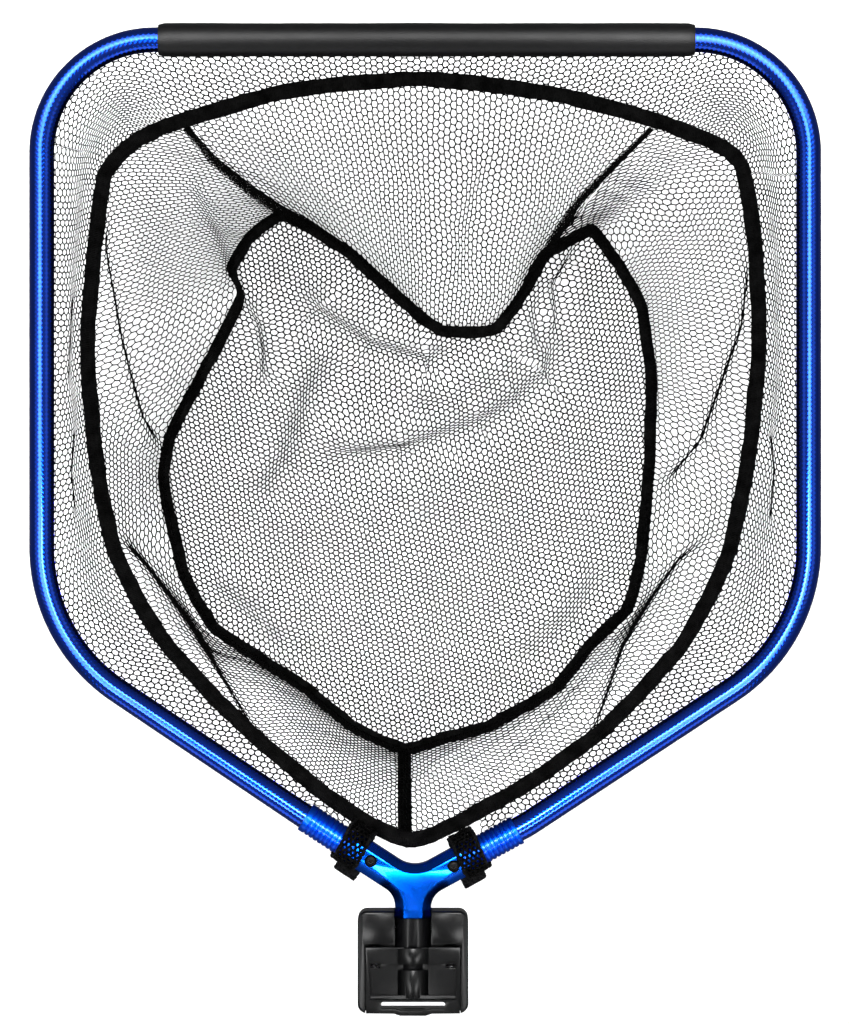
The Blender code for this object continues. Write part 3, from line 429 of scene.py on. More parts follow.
def change(obj, other, operation="DIFFERENCE"):
    """Cuts one object from another, or joins it on."""
    modifier = obj.modifiers.new(other.name, "BOOLEAN")
    modifier.object = other
    modifier.operation = operation
    modifier.solver = "EXACT"


def apply_all(obj, smooth=None):
    """Turns an object's modifiers into its mesh, and drops used cutters."""
    for other in [m.object for m in obj.modifiers if m.type == "BOOLEAN"]:
        other.hide_viewport = False
    bpy.context.view_layer.update()
    graph = bpy.context.evaluated_depsgraph_get()
    mesh = bpy.data.meshes.new_from_object(obj.evaluated_get(graph))
    cutters = [m.object for m in obj.modifiers if m.type == "BOOLEAN"]
    obj.modifiers.clear()
    obj.data = mesh
    for other in cutters:
        bpy.data.objects.remove(other, do_unlink=True)
    if smooth:
        mesh.shade_smooth()
        mesh.set_sharp_from_angle(angle=math.radians(smooth))
    return obj


def bevel(obj, width, segments=3, angle=30):
    """Rounds the edges that are sharper than an angle."""
    modifier = obj.modifiers.new("Bevel", "BEVEL")
    modifier.width = width
    modifier.segments = segments
    modifier.limit_method = "ANGLE"
    modifier.angle_limit = math.radians(angle)
    modifier.use_clamp_overlap = True


def rounded(corners, closed=True):
    """An outline of (x, y, radius, segments) corners with round corners."""
    count = len(corners)
    points = []
    for i, (x, y, radius, segments) in enumerate(corners):
        here = Vector((x, y))
        if radius == 0 or (not closed and i in (0, count - 1)):
            points.append(here)
            continue
        back = (Vector(corners[i - 1][:2]) - here).normalized()
        ahead = (Vector(corners[(i + 1) % count][:2]) - here).normalized()
        half = back.angle(ahead) / 2
        centre = here + (back + ahead).normalized() * radius / math.sin(half)
        start = here + back * radius / math.tan(half) - centre
        turn = start.angle_signed(here + ahead * radius / math.tan(half) - centre)
        for k in range(segments + 1):
            spoke = Matrix.Rotation(-turn * k / segments, 2) @ start
            points.append(centre + spoke)
    return points


def smooth_loop(outline, steps, tight):
    """A closed curve through an outline in mm; tight 1 is straight lines."""
    knots = [Vector(point) * MM for point in outline]
    points = []
    for i in range(len(knots)):
        a, b, c, d = (knots[(i + k) % len(knots)] for k in (-1, 0, 1, 2))
        start, end = (c - a) * (1 - tight) / 2, (d - b) * (1 - tight) / 2
        for k in range(steps):
            t = k / steps
            points.append(
                b * (2 * t**3 - 3 * t**2 + 1)
                + start * (t**3 - 2 * t**2 + t)
                + c * (3 * t**2 - 2 * t**3)
                + end * (t**3 - t**2)
            )
    return points


def side_ways(path, closed):
    """The unit direction to the right of travel at each point of a path."""
    count = len(path)
    found = []
    for i in range(count):
        before = path[i - 1] if closed or i else path[i]
        after = path[(i + 1) % count] if closed or i < count - 1 else path[i]
        along = (after - before).normalized()
        found.append(Vector((along.y, -along.x)))
    return found


def skin(name, rings, finish, closed=False, smooth=None, uv=True):
    """Joins closed sections into one skin; u runs along it and v round it."""
    bm = bmesh.new()
    layer = bm.loops.layers.uv.new("UVMap") if uv else None
    rows = [[bm.verts.new(point) for point in ring] for ring in rings]
    run = [0.0]
    for a, b in zip(rings, rings[1:] + rings[:1]):
        run.append(run[-1] + (Vector(b[0]) - Vector(a[0])).length)
    count = len(rows)
    for i in range(count if closed else count - 1):
        a, b = rows[i], rows[(i + 1) % count]
        size = len(a)
        for k in range(size):
            j = (k + 1) % size
            face = bm.faces.new((a[k], a[j], b[j], b[k]))
            if layer:
                for loop, place in zip(
                    face.loops, ((i, k), (i, k + 1), (i + 1, k + 1), (i + 1, k))
                ):
                    loop[layer].uv = (run[place[0]] / MM, place[1] / size)
    if not closed:
        bm.faces.new(rows[0])
        bm.faces.new(rows[-1])
    return add(name, mesh_of(name, bm), finish, smooth)


def swept(path, sides, section, z=HOOP_Z):
    """A section carried along a path on the plan."""
    return [
        [Vector((*(point + side * inset), z + height)) for inset, height in section]
        for point, side in zip(path, sides)
    ]


def arm_point(side, distance, across=0.0):
    """A place on the plan, out along a yoke arm and across it."""
    angle = math.radians(LEFT_ARM_DEG if side == "left" else RIGHT_ARM_DEG)
    along = Vector((math.cos(angle), math.sin(angle)))
    square = Vector((along.y, -along.x)) if side == "left" else Vector((-along.y, along.x))
    return YOKE + along * distance + square * across


def at(point, z=0.0):
    """A plan point at a height over the hoop's middle."""
    return Vector((point.x, point.y, HOOP_Z + z))


def finish_piece(obj, body, slot, *nodes):
    """Hangs a finished piece on its body, in place of its CAD nodes."""
    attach(obj, body)
    if nodes:
        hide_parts(*nodes)
    return obj


# ---------------------------------------------------------------- hard parts


def hoop_path():
    """The tube's middle line, from socket to socket."""
    left_in = arm_point("left", SOCKET_FROM + 1 * MM)
    right_in = arm_point("right", SOCKET_FROM + 1 * MM)
    left_knee = arm_point("left", COLLAR_END["left"] + 6 * MM)
    right_knee = arm_point("right", COLLAR_END["right"] + 8 * MM)
    corners = [
        (*left_in, 0, 0),
        (*left_knee, KNEE_RADIUS, 3),
        (-HALF_WIDTH, LOWER_Y, LOWER_RADIUS, 24),
        (-HALF_WIDTH, TOP_Y, TOP_RADIUS, 32),
        (HALF_WIDTH, TOP_Y, TOP_RADIUS, 32),
        (HALF_WIDTH, LOWER_Y, LOWER_RADIUS, 24),
        (*right_knee, KNEE_RADIUS, 3),
        (*right_in, 0, 0),
    ]
    return rounded(corners, closed=False)


def make_hoop_tube(finish):
    """The tube, open along its inner side for the bead."""
    inner = TUBE_R - TUBE_WALL
    section = []
    for radius, count in ((TUBE_R, 56), (inner, 30)):
        first = math.asin(CHANNEL_HALF / radius)
        arc = []
        for k in range(count + 1):
            angle = first + (2 * math.pi - 2 * first) * k / count
            arc.append((radius * math.cos(angle), radius * math.sin(angle)))
        section += arc if radius == TUBE_R else arc[::-1]
    path = hoop_path()
    tube = skin("hoop_tube_fine", swept(path, side_ways(path, False), section), finish, smooth=35)
    finish_piece(tube, "net_head", "anodised_blue", "hoop_tube")


def make_foam(finish):
    """A soft sleeve with rolled ends and a slit on the bag's side."""
    steps = 90
    length = FOAM_HIGH.x - FOAM_LOW.x
    bore = TUBE_R + 0.25 * MM
    rings = []
    for i in range(steps + 1):
        share = i / steps
        x = FOAM_LOW.x + length * share
        edge = min(share, 1 - share) * length
        roll = 0.9 * MM * max(0.0, 1 - edge / (1.6 * MM)) ** 2
        wave = 0.12 * MM * math.sin(share * 23) * math.sin(share * 7 + 1)
        section = []
        for radius, count in ((FOAM_R - roll + wave, 40), (bore, 24)):
            first = 0.11 if radius > bore + 0.1 * MM else 0.16
            arc = []
            for k in range(count + 1):
                angle = first + (2 * math.pi - 2 * first) * k / count
                arc.append((radius * math.cos(angle), radius * math.sin(angle)))
            section += arc if count == 40 else arc[::-1]
        rings.append(
            [Vector((x, TOP_Y - inset, HOOP_Z + height)) for inset, height in section]
        )
    sleeve = skin("foam_grip", rings, finish, smooth=40)
    finish_piece(sleeve, "net_head", "black_foam", "foam_sleeve")


def make_collar(side, finish):
    """A sleeve over tube and socket, with turned grooves."""
    start = ARM_LENGTH[side] + 0.3 * MM
    length = COLLAR_END[side] - start
    bore = TUBE_R + 0.02 * MM
    lip = 0.4 * MM
    outer = [(COLLAR_R - lip, 0), (COLLAR_R - lip * 0.3, lip * 0.3), (COLLAR_R, lip)]
    first_rib = 5 * MM
    ribs = int((length - first_rib - 3.4 * MM) / RIB_PITCH) + 1
    half = 0.3 * MM
    for k in range(ribs):
        z = first_rib + k * RIB_PITCH
        for shift, depth in ((-2.6, 0), (-1.8, 0.5), (-0.8, 1.3), (0.8, 1.3), (1.8, 0.5), (2.6, 0)):
            outer.append((COLLAR_R - depth * 0.5 * MM, z + shift * half))
    outer += [(COLLAR_R, length - lip), (COLLAR_R - lip * 0.3, length - lip * 0.3)]
    outer += [(COLLAR_R - lip, length)]
    profile = [(bore, 0), (bore, length)] + outer[::-1]
    along = at(arm_point(side, 1)) - at(arm_point(side, 0))
    collar = turned(f"collar_{side}_ribbed", profile, at(arm_point(side, start)), along, finish)
    finish_piece(collar, "net_head", "anodised_blue", "collar_" + side)


def yoke_outline(spare):
    """The yoke's plan, with its arms and stem left long by spare."""
    left_edge = YOKE.x - STEM_HALF
    right_edge = YOKE.x + STEM_HALF

    def crossing(side, x):
        low = arm_point(side, 0, -ARM_HALF)
        far = arm_point(side, 1, -ARM_HALF)
        return low.lerp(far, (x - low.x) / (far.x - low.x)).y

    a, b = arm_point("left", 0, ARM_HALF), arm_point("left", 1, ARM_HALF)
    c, d = arm_point("right", 0, ARM_HALF), arm_point("right", 1, ARM_HALF)
    notch = a + (b - a) * ((c - a).cross(d - c) / (b - a).cross(d - c))
    tips = {side: ARM_LENGTH[side] + spare for side in ARM_LENGTH}
    return rounded(
        [
            (left_edge, STEM_END_Y - spare, 0, 0),
            (left_edge, crossing("left", left_edge), 13 * MM, 14),
            (*arm_point("left", tips["left"], -ARM_HALF), 0, 0),
            (*arm_point("left", tips["left"], ARM_HALF), 0, 0),
            (*notch, 18 * MM, 14),
            (*arm_point("right", tips["right"], ARM_HALF), 0, 0),
            (*arm_point("right", tips["right"], -ARM_HALF), 0, 0),
            (right_edge, crossing("right", right_edge), 13 * MM, 14),
            (right_edge, STEM_END_Y - spare, 0, 0),
        ]
    )


def make_yoke(finish):
    """The machined Y that joins tube and spigot."""
    outline = yoke_outline(14 * MM)
    yoke = plate("yoke_machined", outline, HOOP_Z - ARM_HALF, HOOP_Z + ARM_HALF, finish)
    bevel(yoke, YOKE_CHAMFER, segments=1)
    apply_all(yoke)
    for side in ("left", "right"):
        end = ARM_LENGTH[side]
        far = at(arm_point(side, end + 40 * MM))
        change(yoke, rod("arm_end_" + side, at(arm_point(side, end)), far, 30 * MM, sides=8))
        bore = at(arm_point(side, SOCKET_FROM))
        change(yoke, rod("arm_bore_" + side, bore, far, TUBE_R + 0.3 * MM))
        middle = arm_point(side, SCREW_AT[side])
        change(yoke, rod("screw_hole_" + side, at(middle), at(middle, 12 * MM), 2.3 * MM))
    stem = Vector((YOKE.x, STEM_END_Y))
    change(yoke, rod("stem_end", at(stem), at(stem + Vector((0, -0.04))), 30 * MM, sides=8))
    top = stem + Vector((0, 12.3 * MM))
    change(yoke, rod("stem_bore", at(stem + Vector((0, -5 * MM))), at(top), 7.3 * MM))
    hole = stem + Vector((0, 8.5 * MM))
    change(yoke, rod("stem_hole", at(hole), at(hole, -12 * MM), 1.8 * MM))
    apply_all(yoke)
    bevel(yoke, 0.45 * MM, segments=3, angle=22)
    apply_all(yoke, smooth=20)
    finish_piece(yoke, "net_head", "yoke_blue", "yoke")


def make_button_screw(name, node, seat, direction, finish, head_r, head, shank, shank_r, body):
    """A domed screw with a hexagon socket."""
    direction = Vector(direction)
    profile = [(0, -shank), (shank_r, -shank), (shank_r, 0), (head_r, 0), (head_r, head * 0.3)]
    for k in range(1, 9):
        angle = math.radians(10 + 8.5 * k)
        profile.append((head_r * math.cos(angle * 0.82), head * (0.3 + 0.7 * math.sin(angle))))
    profile.append((0, head))
    screw = turned(name, profile, seat, direction, finish, sides=48)
    low, high = seat + direction * head * 0.3, seat + direction * head * 2
    change(screw, rod(name + "_socket", low, high, head_r * 0.42, sides=6))
    apply_all(screw, smooth=35)
    finish_piece(screw, body, "black_steel", node)


def make_screws(finish):
    """The yoke, spigot and dock plate screws."""
    for side in ("left", "right"):
        seat = at(arm_point(side, SCREW_AT[side]), ARM_HALF + 0.05 * MM)
        make_button_screw(
            f"yoke_button_screw_{side}", f"yoke_screw_{side}", seat, (0, 0, 1), finish,
            4 * MM, 2.2 * MM, 5 * MM, 2 * MM, "net_head",
        )  # fmt: skip
    seat = at(Vector((YOKE.x, STEM_END_Y + 8.5 * MM)), -ARM_HALF - 0.05 * MM)
    make_button_screw(
        "stem_button_screw", "spigot_screw", seat, (0, 0, -1), finish,
        2.8 * MM, 1.8 * MM, 6 * MM, 1.5 * MM, "net_head",
    )  # fmt: skip
    for k in range(1, 5):
        x, y, low = dock_screw_place(k)
        seat = Vector((x, y, low + 1.4 * MM))
        make_button_screw(
            f"plate_button_screw_{k}", f"dock_screw_{k}", seat, (0, 0, -1), finish,
            2.8 * MM, 1.4 * MM, 7 * MM, 1.4 * MM, "dock",
        )  # fmt: skip


def make_spigot(finish):
    """The moulded spigot, with its flute and side grooves."""
    top = STEM_END_Y - 0.3 * MM
    tenon_top = STEM_END_Y + 12 * MM
    round_r = 0.5 * MM
    profile = [
        (0, 0),
        (7 * MM, 0),
        (7 * MM, tenon_top - top),
        (SPIGOT_R - round_r, tenon_top - top),
        (SPIGOT_R, tenon_top - top + round_r),
        (SPIGOT_R, tenon_top - SHOULDER_Y - round_r),
        (SPIGOT_R - round_r, tenon_top - SHOULDER_Y),
        (SPIGOT_TIP_R, tenon_top - SHOULDER_Y),
        (SPIGOT_TIP_R, tenon_top - SPIGOT_TIP_Y - 1 * MM),
        (SPIGOT_TIP_R - 1 * MM, tenon_top - SPIGOT_TIP_Y),
        (0, tenon_top - SPIGOT_TIP_Y),
    ]
    start = Vector((YOKE.x, tenon_top, HOOP_Z))
    spigot = turned("spigot_moulded", profile, start, (0, -1, 0), finish, sides=96)
    x, low = YOKE.x, SHOULDER_Y - 2 * MM
    flute_low, flute_high = (x - 3 * MM, low, HOOP_Z + 9.75 * MM), (x + 3 * MM, top - 0.8 * MM, HOOP_Z + 0.02)
    change(spigot, box("flute", flute_low, flute_high))
    for way in (-1, 1):
        ends = sorted((x + way * (SPIGOT_R - 2 * MM), x + way * 20 * MM))
        side = "left" if way < 0 else "right"
        groove = box(
            "side_groove_" + side,
            (ends[0], low, HOOP_Z - 1.8 * MM),
            (ends[1], top - 2 * MM, HOOP_Z + 1.8 * MM),
        )
        change(spigot, groove)
    hole = Vector((x, STEM_END_Y + 8.5 * MM))
    change(spigot, rod("tenon_hole", at(hole), at(hole, -9 * MM), 1.8 * MM))
    apply_all(spigot)
    bevel(spigot, 0.3 * MM, segments=2, angle=35)
    apply_all(spigot, smooth=30)
    finish_piece(spigot, "net_head", "black_acetal", "spigot")


def dock_outline(inset=0.0, segments=10):
    """The dock's rounded plan."""
    low, high = DOCK_LOW, DOCK_HIGH
    corner = DOCK_CORNER - inset
    return rounded(
        [
            (low.x + inset, low.y + inset, corner, segments),
            (low.x + inset, high.y - inset, corner, segments),
            (high.x - inset, high.y - inset, corner, segments),
            (high.x - inset, low.y + inset, corner, segments),
        ]
    )


def dock_screw_place(k):
    """The middle of a plate screw on the plan, and its head's lowest height."""
    low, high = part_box(f"dock_screw_{k}")
    return (low.x + high.x) / 2, (low.y + high.y) / 2, low.z


def dock_box(name, x_half, y_range, z_range, finish=None):
    """A block across the dock, centred on the yoke."""
    low = (YOKE.x - x_half, y_range[0], z_range[0])
    return box(name, low, (YOKE.x + x_half, y_range[1], z_range[1]), finish)


# The dock's front face, its floor for the slider, and the slider's own size.
DOCK_FRONT = HOOP_Z + 11 * MM
DOCK_BACK = DOCK_LOW.z
RECESS_Z = DOCK_FRONT - 5.5 * MM
BAR_HALF = (SLIDER_HIGH.x - SLIDER_LOW.x) / 2
CROSSBAR_Y = (-284 * MM, SLIDER_HIGH.y)
BAR_Y = (-315.7 * MM, -306.9 * MM)
SLOT_HALF = 20.5 * MM
SLOT_Y = (-313 * MM, -308.2 * MM)
LEG_X = (20.8 * MM, 27.2 * MM)
BAR_BULGE = 1.3 * MM
PIN_Y = -262 * MM

# How far the dock's cuts run out of it, and the cover's grip lands.
AHEAD_Y = -240 * MM
BELOW_Y = -0.32
OVER_Z = HOOP_Z + 30 * MM
LAND_X = 24 * MM
LAND_Y = -262 * MM
LAND_PITCH = 8 * MM
LAND_HALF = 1.2 * MM
LAND_DEPTH = 0.5 * MM


def facet_pad(way):
    """A corner pad of two planes that meet in a crease."""
    inner, outer = YOKE.x + way * 12.3 * MM, YOKE.x + way * 31.8 * MM
    top, bottom = -252.4 * MM, -270.9 * MM
    corners = [
        (outer, top, DOCK_FRONT - 0.1 * MM),
        (inner, top, DOCK_FRONT + 1.5 * MM),
        (inner, bottom, DOCK_FRONT - 0.6 * MM),
        (outer, bottom, DOCK_FRONT + 0.1 * MM),
    ]
    bm = bmesh.new()
    tops = [bm.verts.new(c) for c in corners]
    lows = [bm.verts.new((x, y, DOCK_FRONT - 2 * MM)) for x, y, _ in corners]
    bm.faces.new((tops[0], tops[1], tops[2]))
    bm.faces.new((tops[0], tops[2], tops[3]))
    bm.faces.new(lows)
    for k in range(4):
        j = (k + 1) % 4
        bm.faces.new((tops[k], tops[j], lows[j], lows[k]))
    return add("facet_" + ("left" if way < 0 else "right"), mesh_of("facet", bm))


def make_dock_body(finish):
    """The dock's shell, with all its pockets."""
    x, y0 = YOKE.x, SHOULDER_Y - 0.4 * MM
    body = plate("dock_shell", dock_outline(), DOCK_BACK, DOCK_FRONT - 0.8 * MM, finish)
    bevel(body, 1.6 * MM, segments=4)
    apply_all(body)
    for way in (-1, 1):
        change(body, facet_pad(way), "UNION")
    cradle_r = SPIGOT_R + RUNNING
    change(body, dock_box("cradle_mouth", cradle_r, (y0, AHEAD_Y), (HOOP_Z, OVER_Z)))
    seat = (STEM_END_Y - 2 * RUNNING, AHEAD_Y), (HOOP_Z - ARM_HALF - RUNNING, OVER_Z)
    change(body, dock_box("stem_seat", STEM_HALF + 0.5 * MM, *seat))
    ahead = at(Vector((x, AHEAD_Y)))
    change(body, rod("cradle", at(Vector((x, y0))), ahead, cradle_r, sides=64))
    recess = (-304.2 * MM, -285 * MM), (RECESS_Z, OVER_Z)
    change(body, dock_box("panel_recess", 28.2 * MM, *recess))
    groove = (-288 * MM, -271.4 * MM), (RECESS_Z, OVER_Z)
    change(body, dock_box("bar_groove", BAR_HALF + 0.5 * MM, *groove))
    for way, side in ((-1, "left"), (1, "right")):
        edge = sorted((x + way * 27 * MM, x + way * (BAR_HALF + 0.5 * MM)))
        rail_low, rail_high = (edge[0], BELOW_Y, RECESS_Z), (edge[1], -0.285, OVER_Z)
        change(body, box("rail_" + side, rail_low, rail_high))
        leg = sorted((x + way * (LEG_X[0] - RUNNING), x + way * (LEG_X[1] + RUNNING)))
        low = CROSSBAR_Y[0] - 3.4 * MM
        leg_low, leg_high = (leg[0], low, HOOP_Z - 2 * MM), (leg[1], -0.2714, OVER_Z)
        change(body, box("leg_" + side, leg_low, leg_high))
        spring_x = x + way * (LEG_X[0] + LEG_X[1]) / 2
        ends = [(spring_x, y, HOOP_Z + 1.4 * MM) for y in (low + 1 * MM, -0.302)]
        change(body, rod("spring_" + side, *ends, 2.4 * MM, sides=24))
        ends = [(x + way * d * MM, PIN_Y, HOOP_Z) for d in (14, 29)]
        change(body, rod("pin_pocket_" + side, *ends, 3 * MM, sides=24))
        ends = [(x + way * d * MM, PIN_Y, HOOP_Z) for d in (9, 16)]
        change(body, rod("pin_guide_" + side, *ends, 1.8 * MM, sides=24))
    ends = [at(Vector((x, y))) for y in (y0 - 3.6 * MM, -0.306)]
    change(body, rod("barrel", *ends, SPIGOT_R, sides=96), "UNION")
    ends = [at(Vector((x, y))) for y in (y0 + 1 * MM, SPIGOT_TIP_Y - 0.6 * MM)]
    change(body, rod("barrel_bore", *ends, SPIGOT_TIP_R + RUNNING, sides=48))
    pocket = (BELOW_Y, BAR_Y[1] + 0.5 * MM), (HOOP_Z - 3.5 * MM, OVER_Z)
    change(body, dock_box("finger_bar_pocket", BAR_HALF + 0.5 * MM, *pocket))
    strap = (SLOT_Y[0] - 1 * MM, SLOT_Y[1] + 0.6 * MM), (HOOP_Z - 0.03, OVER_Z)
    change(body, dock_box("strap_way", SLOT_HALF + 1 * MM, *strap))
    for k in range(1, 5):
        sx, sy, _ = dock_screw_place(k)
        start = Vector((sx, sy, DOCK_BACK - 1 * MM))
        change(body, rod(f"pilot_{k}", start, start + Vector((0, 0, 9 * MM)), 1.7 * MM, sides=16))
    apply_all(body)
    bevel(body, 0.35 * MM, segments=2, angle=32)
    apply_all(body, smooth=28)
    finish_piece(body, "dock", "black_nylon", "dock_body")


def make_dock_back(finish):
    """The dock's screwed back cover."""
    cover = plate("dock_cover", dock_outline(0.6 * MM), PLATE_LOW.z, PLATE_HIGH.z, finish)
    strap = (SLOT_Y[0] - 1 * MM, SLOT_Y[1] + 0.6 * MM), (PLATE_LOW.z - 0.005, PLATE_HIGH.z + 0.005)
    change(cover, dock_box("cover_strap_way", SLOT_HALF + 1 * MM, *strap))
    # Shallow grip lands across the cover, with none over its middle.
    for k in (0, 1, 2, 4):
        y = LAND_Y - k * LAND_PITCH
        deep = (PLATE_LOW.z - 1 * MM, PLATE_LOW.z + LAND_DEPTH)
        change(cover, dock_box(f"land_{k}", LAND_X, (y - LAND_HALF, y + LAND_HALF), deep))
    for k in range(1, 5):
        x, y, _ = dock_screw_place(k)
        start = Vector((x, y, PLATE_LOW.z - 1 * MM))
        change(cover, rod(f"hole_{k}", start, start + Vector((0, 0, 9 * MM)), 1.7 * MM, sides=24))
        seat = Vector((x, y, PLATE_LOW.z + 1.7 * MM))
        change(cover, rod(f"sink_{k}", start, seat, 3.2 * MM, sides=32))
    apply_all(cover)
    bevel(cover, 0.4 * MM, segments=3, angle=40)
    apply_all(cover, smooth=30)
    finish_piece(cover, "dock", "black_nylon", "dock_back_plate")


def bar_outline(top, inset):
    """The slider's plan, bowed out at the finger bar."""
    x, half, low = YOKE.x, BAR_HALF - inset, BAR_Y[0] + inset
    turns = ((-1, 1), (-1, 0), (1, 0), (1, 1))
    bulge = [(x + way * (8 * MM + 4 * MM * k), low - BAR_BULGE * (1 - k)) for way, k in turns]
    foot = low + 0.15 * MM
    return [(x - half, foot), *bulge, (x + half, foot), (x + half, top), (x - half, top)]


def make_slider(finish):
    """The release frame: arch, legs, finger bar and strap slot."""
    x = YOKE.x
    step = 0.2 * MM
    low, high = DOCK_FRONT - 4.8 * MM, DOCK_FRONT - 0.3 * MM
    slider = plate("release_frame", bar_outline(CROSSBAR_Y[1], 0), low, high, finish)
    window = (BAR_Y[1], CROSSBAR_Y[0]), (low - 1 * MM, high + 1 * MM)
    change(slider, dock_box("slider_window", BAR_HALF - 2.4 * MM, *window))
    bar = plate("finger_bar", bar_outline(BAR_Y[1] - step, step), HOOP_Z - 3 * MM, high - step)
    change(slider, bar, "UNION")
    for way, side in ((-1, "left"), (1, "right")):
        leg = sorted((x + way * LEG_X[0], x + way * LEG_X[1]))
        foot = box(
            "foot_" + side,
            (leg[0], CROSSBAR_Y[0] + step, HOOP_Z - 1.4 * MM),
            (leg[1], CROSSBAR_Y[1] - step, high - step),
        )
        change(slider, foot, "UNION")
    ends = [at(Vector((x, y))) for y in (CROSSBAR_Y[0] + step, CROSSBAR_Y[1] - step)]
    change(slider, rod("arch", *ends, 14.6 * MM, sides=80), "UNION")
    ends = [at(Vector((x, y))) for y in (CROSSBAR_Y[0] - 1 * MM, CROSSBAR_Y[1] + 1 * MM)]
    change(slider, rod("arch_bore", *ends, SPIGOT_R + 0.7 * MM, sides=80))
    under = (CROSSBAR_Y[0] - 1 * MM, CROSSBAR_Y[1] + 1 * MM), (HOOP_Z - 0.02, low + step)
    change(slider, dock_box("arch_foot", 15.6 * MM, *under))
    slot = rounded(
        [
            (x - SLOT_HALF, SLOT_Y[0], 1.8 * MM, 6),
            (x - SLOT_HALF, SLOT_Y[1], 1.8 * MM, 6),
            (x + SLOT_HALF, SLOT_Y[1], 1.8 * MM, 6),
            (x + SLOT_HALF, SLOT_Y[0], 1.8 * MM, 6),
            (x + 11 * MM, SLOT_Y[0], 1.5 * MM, 3),
            (x + 7 * MM, SLOT_Y[0] - 1.3 * MM, 1.5 * MM, 3),
            (x - 7 * MM, SLOT_Y[0] - 1.3 * MM, 1.5 * MM, 3),
            (x - 11 * MM, SLOT_Y[0], 1.5 * MM, 3),
        ]
    )
    change(slider, plate("strap_slot", slot, HOOP_Z - 10 * MM, high + 5 * MM))
    apply_all(slider)
    bevel(slider, 0.35 * MM, segments=2, angle=32)
    apply_all(slider, smooth=28)
    finish_piece(slider, "slider", "black_nylon", "release_slider")


def make_coils(finish):
    """Each spring as its own coil: an unchanged copy of each of the record's deforming nodes, in the wire
    finish.
    """
    record = frame["record"]
    slots = {part["node"]: part["material_slot"] for part in record["subparts"]}
    for joint in record["behaviour"]["joints"]:
        for row in joint.get("deforming_nodes", []):
            node, letter = row["node"], row["mode"][-1]
            k = "xyz".index(letter)
            coil = bpy.data.objects.new(node + "_coil", frame["nodes"][node].data.copy())
            bpy.context.scene.collection.objects.link(coil)
            coil.data.materials.clear()
            coil.data.materials.append(finish)
            finish_piece(coil, "dock", slots[node], node)
            axis, anchor = [0.0] * 3, [0.0] * 3
            axis[k] = 1.0
            anchor[k] = row[f"fixed_end_{letter}_m"]
            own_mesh(coil)


# ------------------------------------------------------------------- netting


def thread_rails(outline_a, outline_b, pairs, tight_a, tight_b):
    """Matching points on two outlines, from pairs of their knot numbers.

    Returns both rows of points and the first row's running length.
    """
    loop_a, loop_b = smooth_loop(outline_a, FINE, tight_a), smooth_loop(outline_b, FINE, tight_b)
    first, last = pairs[0][0], pairs[-1][0]
    knots = np.linspace(first, last, int((last - first) * FINE) + 1)
    others = np.interp(knots, [p[0] for p in pairs], [p[1] for p in pairs])

    def pick(loop, places):
        table = np.array([p[:] for p in loop])
        places = places * FINE
        low = np.floor(places).astype(int)
        part = (places - low)[:, None]
        return table[low % len(table)] * (1 - part) + table[(low + 1) % len(table)] * part

    a, b = pick(loop_a, knots), pick(loop_b, others)
    return a, b, running(a)


def running(points):
    """The length run so far at each point of a line."""
    return np.concatenate([[0], np.cumsum(np.linalg.norm(np.diff(points, axis=0), axis=1))])


def smoothed(values, count):
    """A running mean over an odd count, with its ends held."""
    padded = np.pad(values, count // 2, mode="edge")
    return np.convolve(padded, np.ones(count) / count, mode="valid")


def rail(points, run, place):
    """The points at some running lengths of a line."""
    return np.stack([np.interp(place, run, points[:, k]) for k in (0, 1)], axis=-1)


def waves(p, scale, seed):
    """Cheap smooth waves in space, from -1 to 1."""
    a = np.sin(p[..., 0] * scale * 1.3 + seed) * np.cos(p[..., 1] * scale + seed * 2.1)
    b = np.sin(p[..., 1] * scale * 1.7 - seed * 0.7 + p[..., 0] * scale * 0.6)
    c = np.cos(p[..., 2] * scale * 1.1 + p[..., 0] * scale * 0.9 + seed * 3.3)
    return (a + b + c) / 3


def rumple(points, seed, amount):
    """Small uneven shifts of the cloth, at three sizes."""
    out = points.copy()
    for scale, share in ((60.0, 1.0), (150.0, 0.55), (330.0, 0.3)):
        for axis in range(3):
            out[..., axis] += waves(points, scale, seed + 5.1 * axis) * amount * share
    return out


def pleat(points, folds, mask=1.0):
    """Folds cloth along lines on the plan.

    Each fold is (plan points in mm, width, overlap, drop, ridge): the cloth
    is drawn in towards the line and steps down across it, so that past an
    overlap of 1 it doubles back on itself.
    """
    out = points.copy()
    plan = points[..., :2]
    for outline, width, overlap, drop, ridge in folds:
        width = width * MM
        knots = np.array(outline) * MM
        nearest = np.full(len(plan), 1e9)
        offset = np.zeros(len(plan))
        way = np.zeros((len(plan), 2))
        fade = np.zeros(len(plan))
        lengths = np.linalg.norm(np.diff(knots, axis=0), axis=1)
        starts = np.concatenate([[0], np.cumsum(lengths)])
        for k, length in enumerate(lengths):
            a, step = knots[k], (knots[k + 1] - knots[k]) / length
            square = np.array([step[1], -step[0]])
            reach = (plan - a) @ step
            held = np.clip(reach, 0, length)
            gap = np.linalg.norm(plan - (a + held[:, None] * step), axis=1)
            near = gap < nearest
            share = (starts[k] + held) / starts[-1]
            soft = np.clip(np.minimum(share, 1 - share) * 5, 0, 1)
            past = np.abs(reach - held) / width
            soft = soft * soft * (3 - 2 * soft) * np.exp(-(past**2))
            offset = np.where(near, (plan - a) @ square, offset)
            way = np.where(near[:, None], square, way)
            fade = np.where(near, soft, fade)
            nearest = np.minimum(nearest, gap)
        bell = np.exp(-((offset / width) ** 2)) * fade * mask
        pull = offset / width * bell
        out[..., :2] -= way * (pull * overlap * width)[:, None]
        out[..., 2] += bell * ridge * MM - pull * drop * MM
    return out


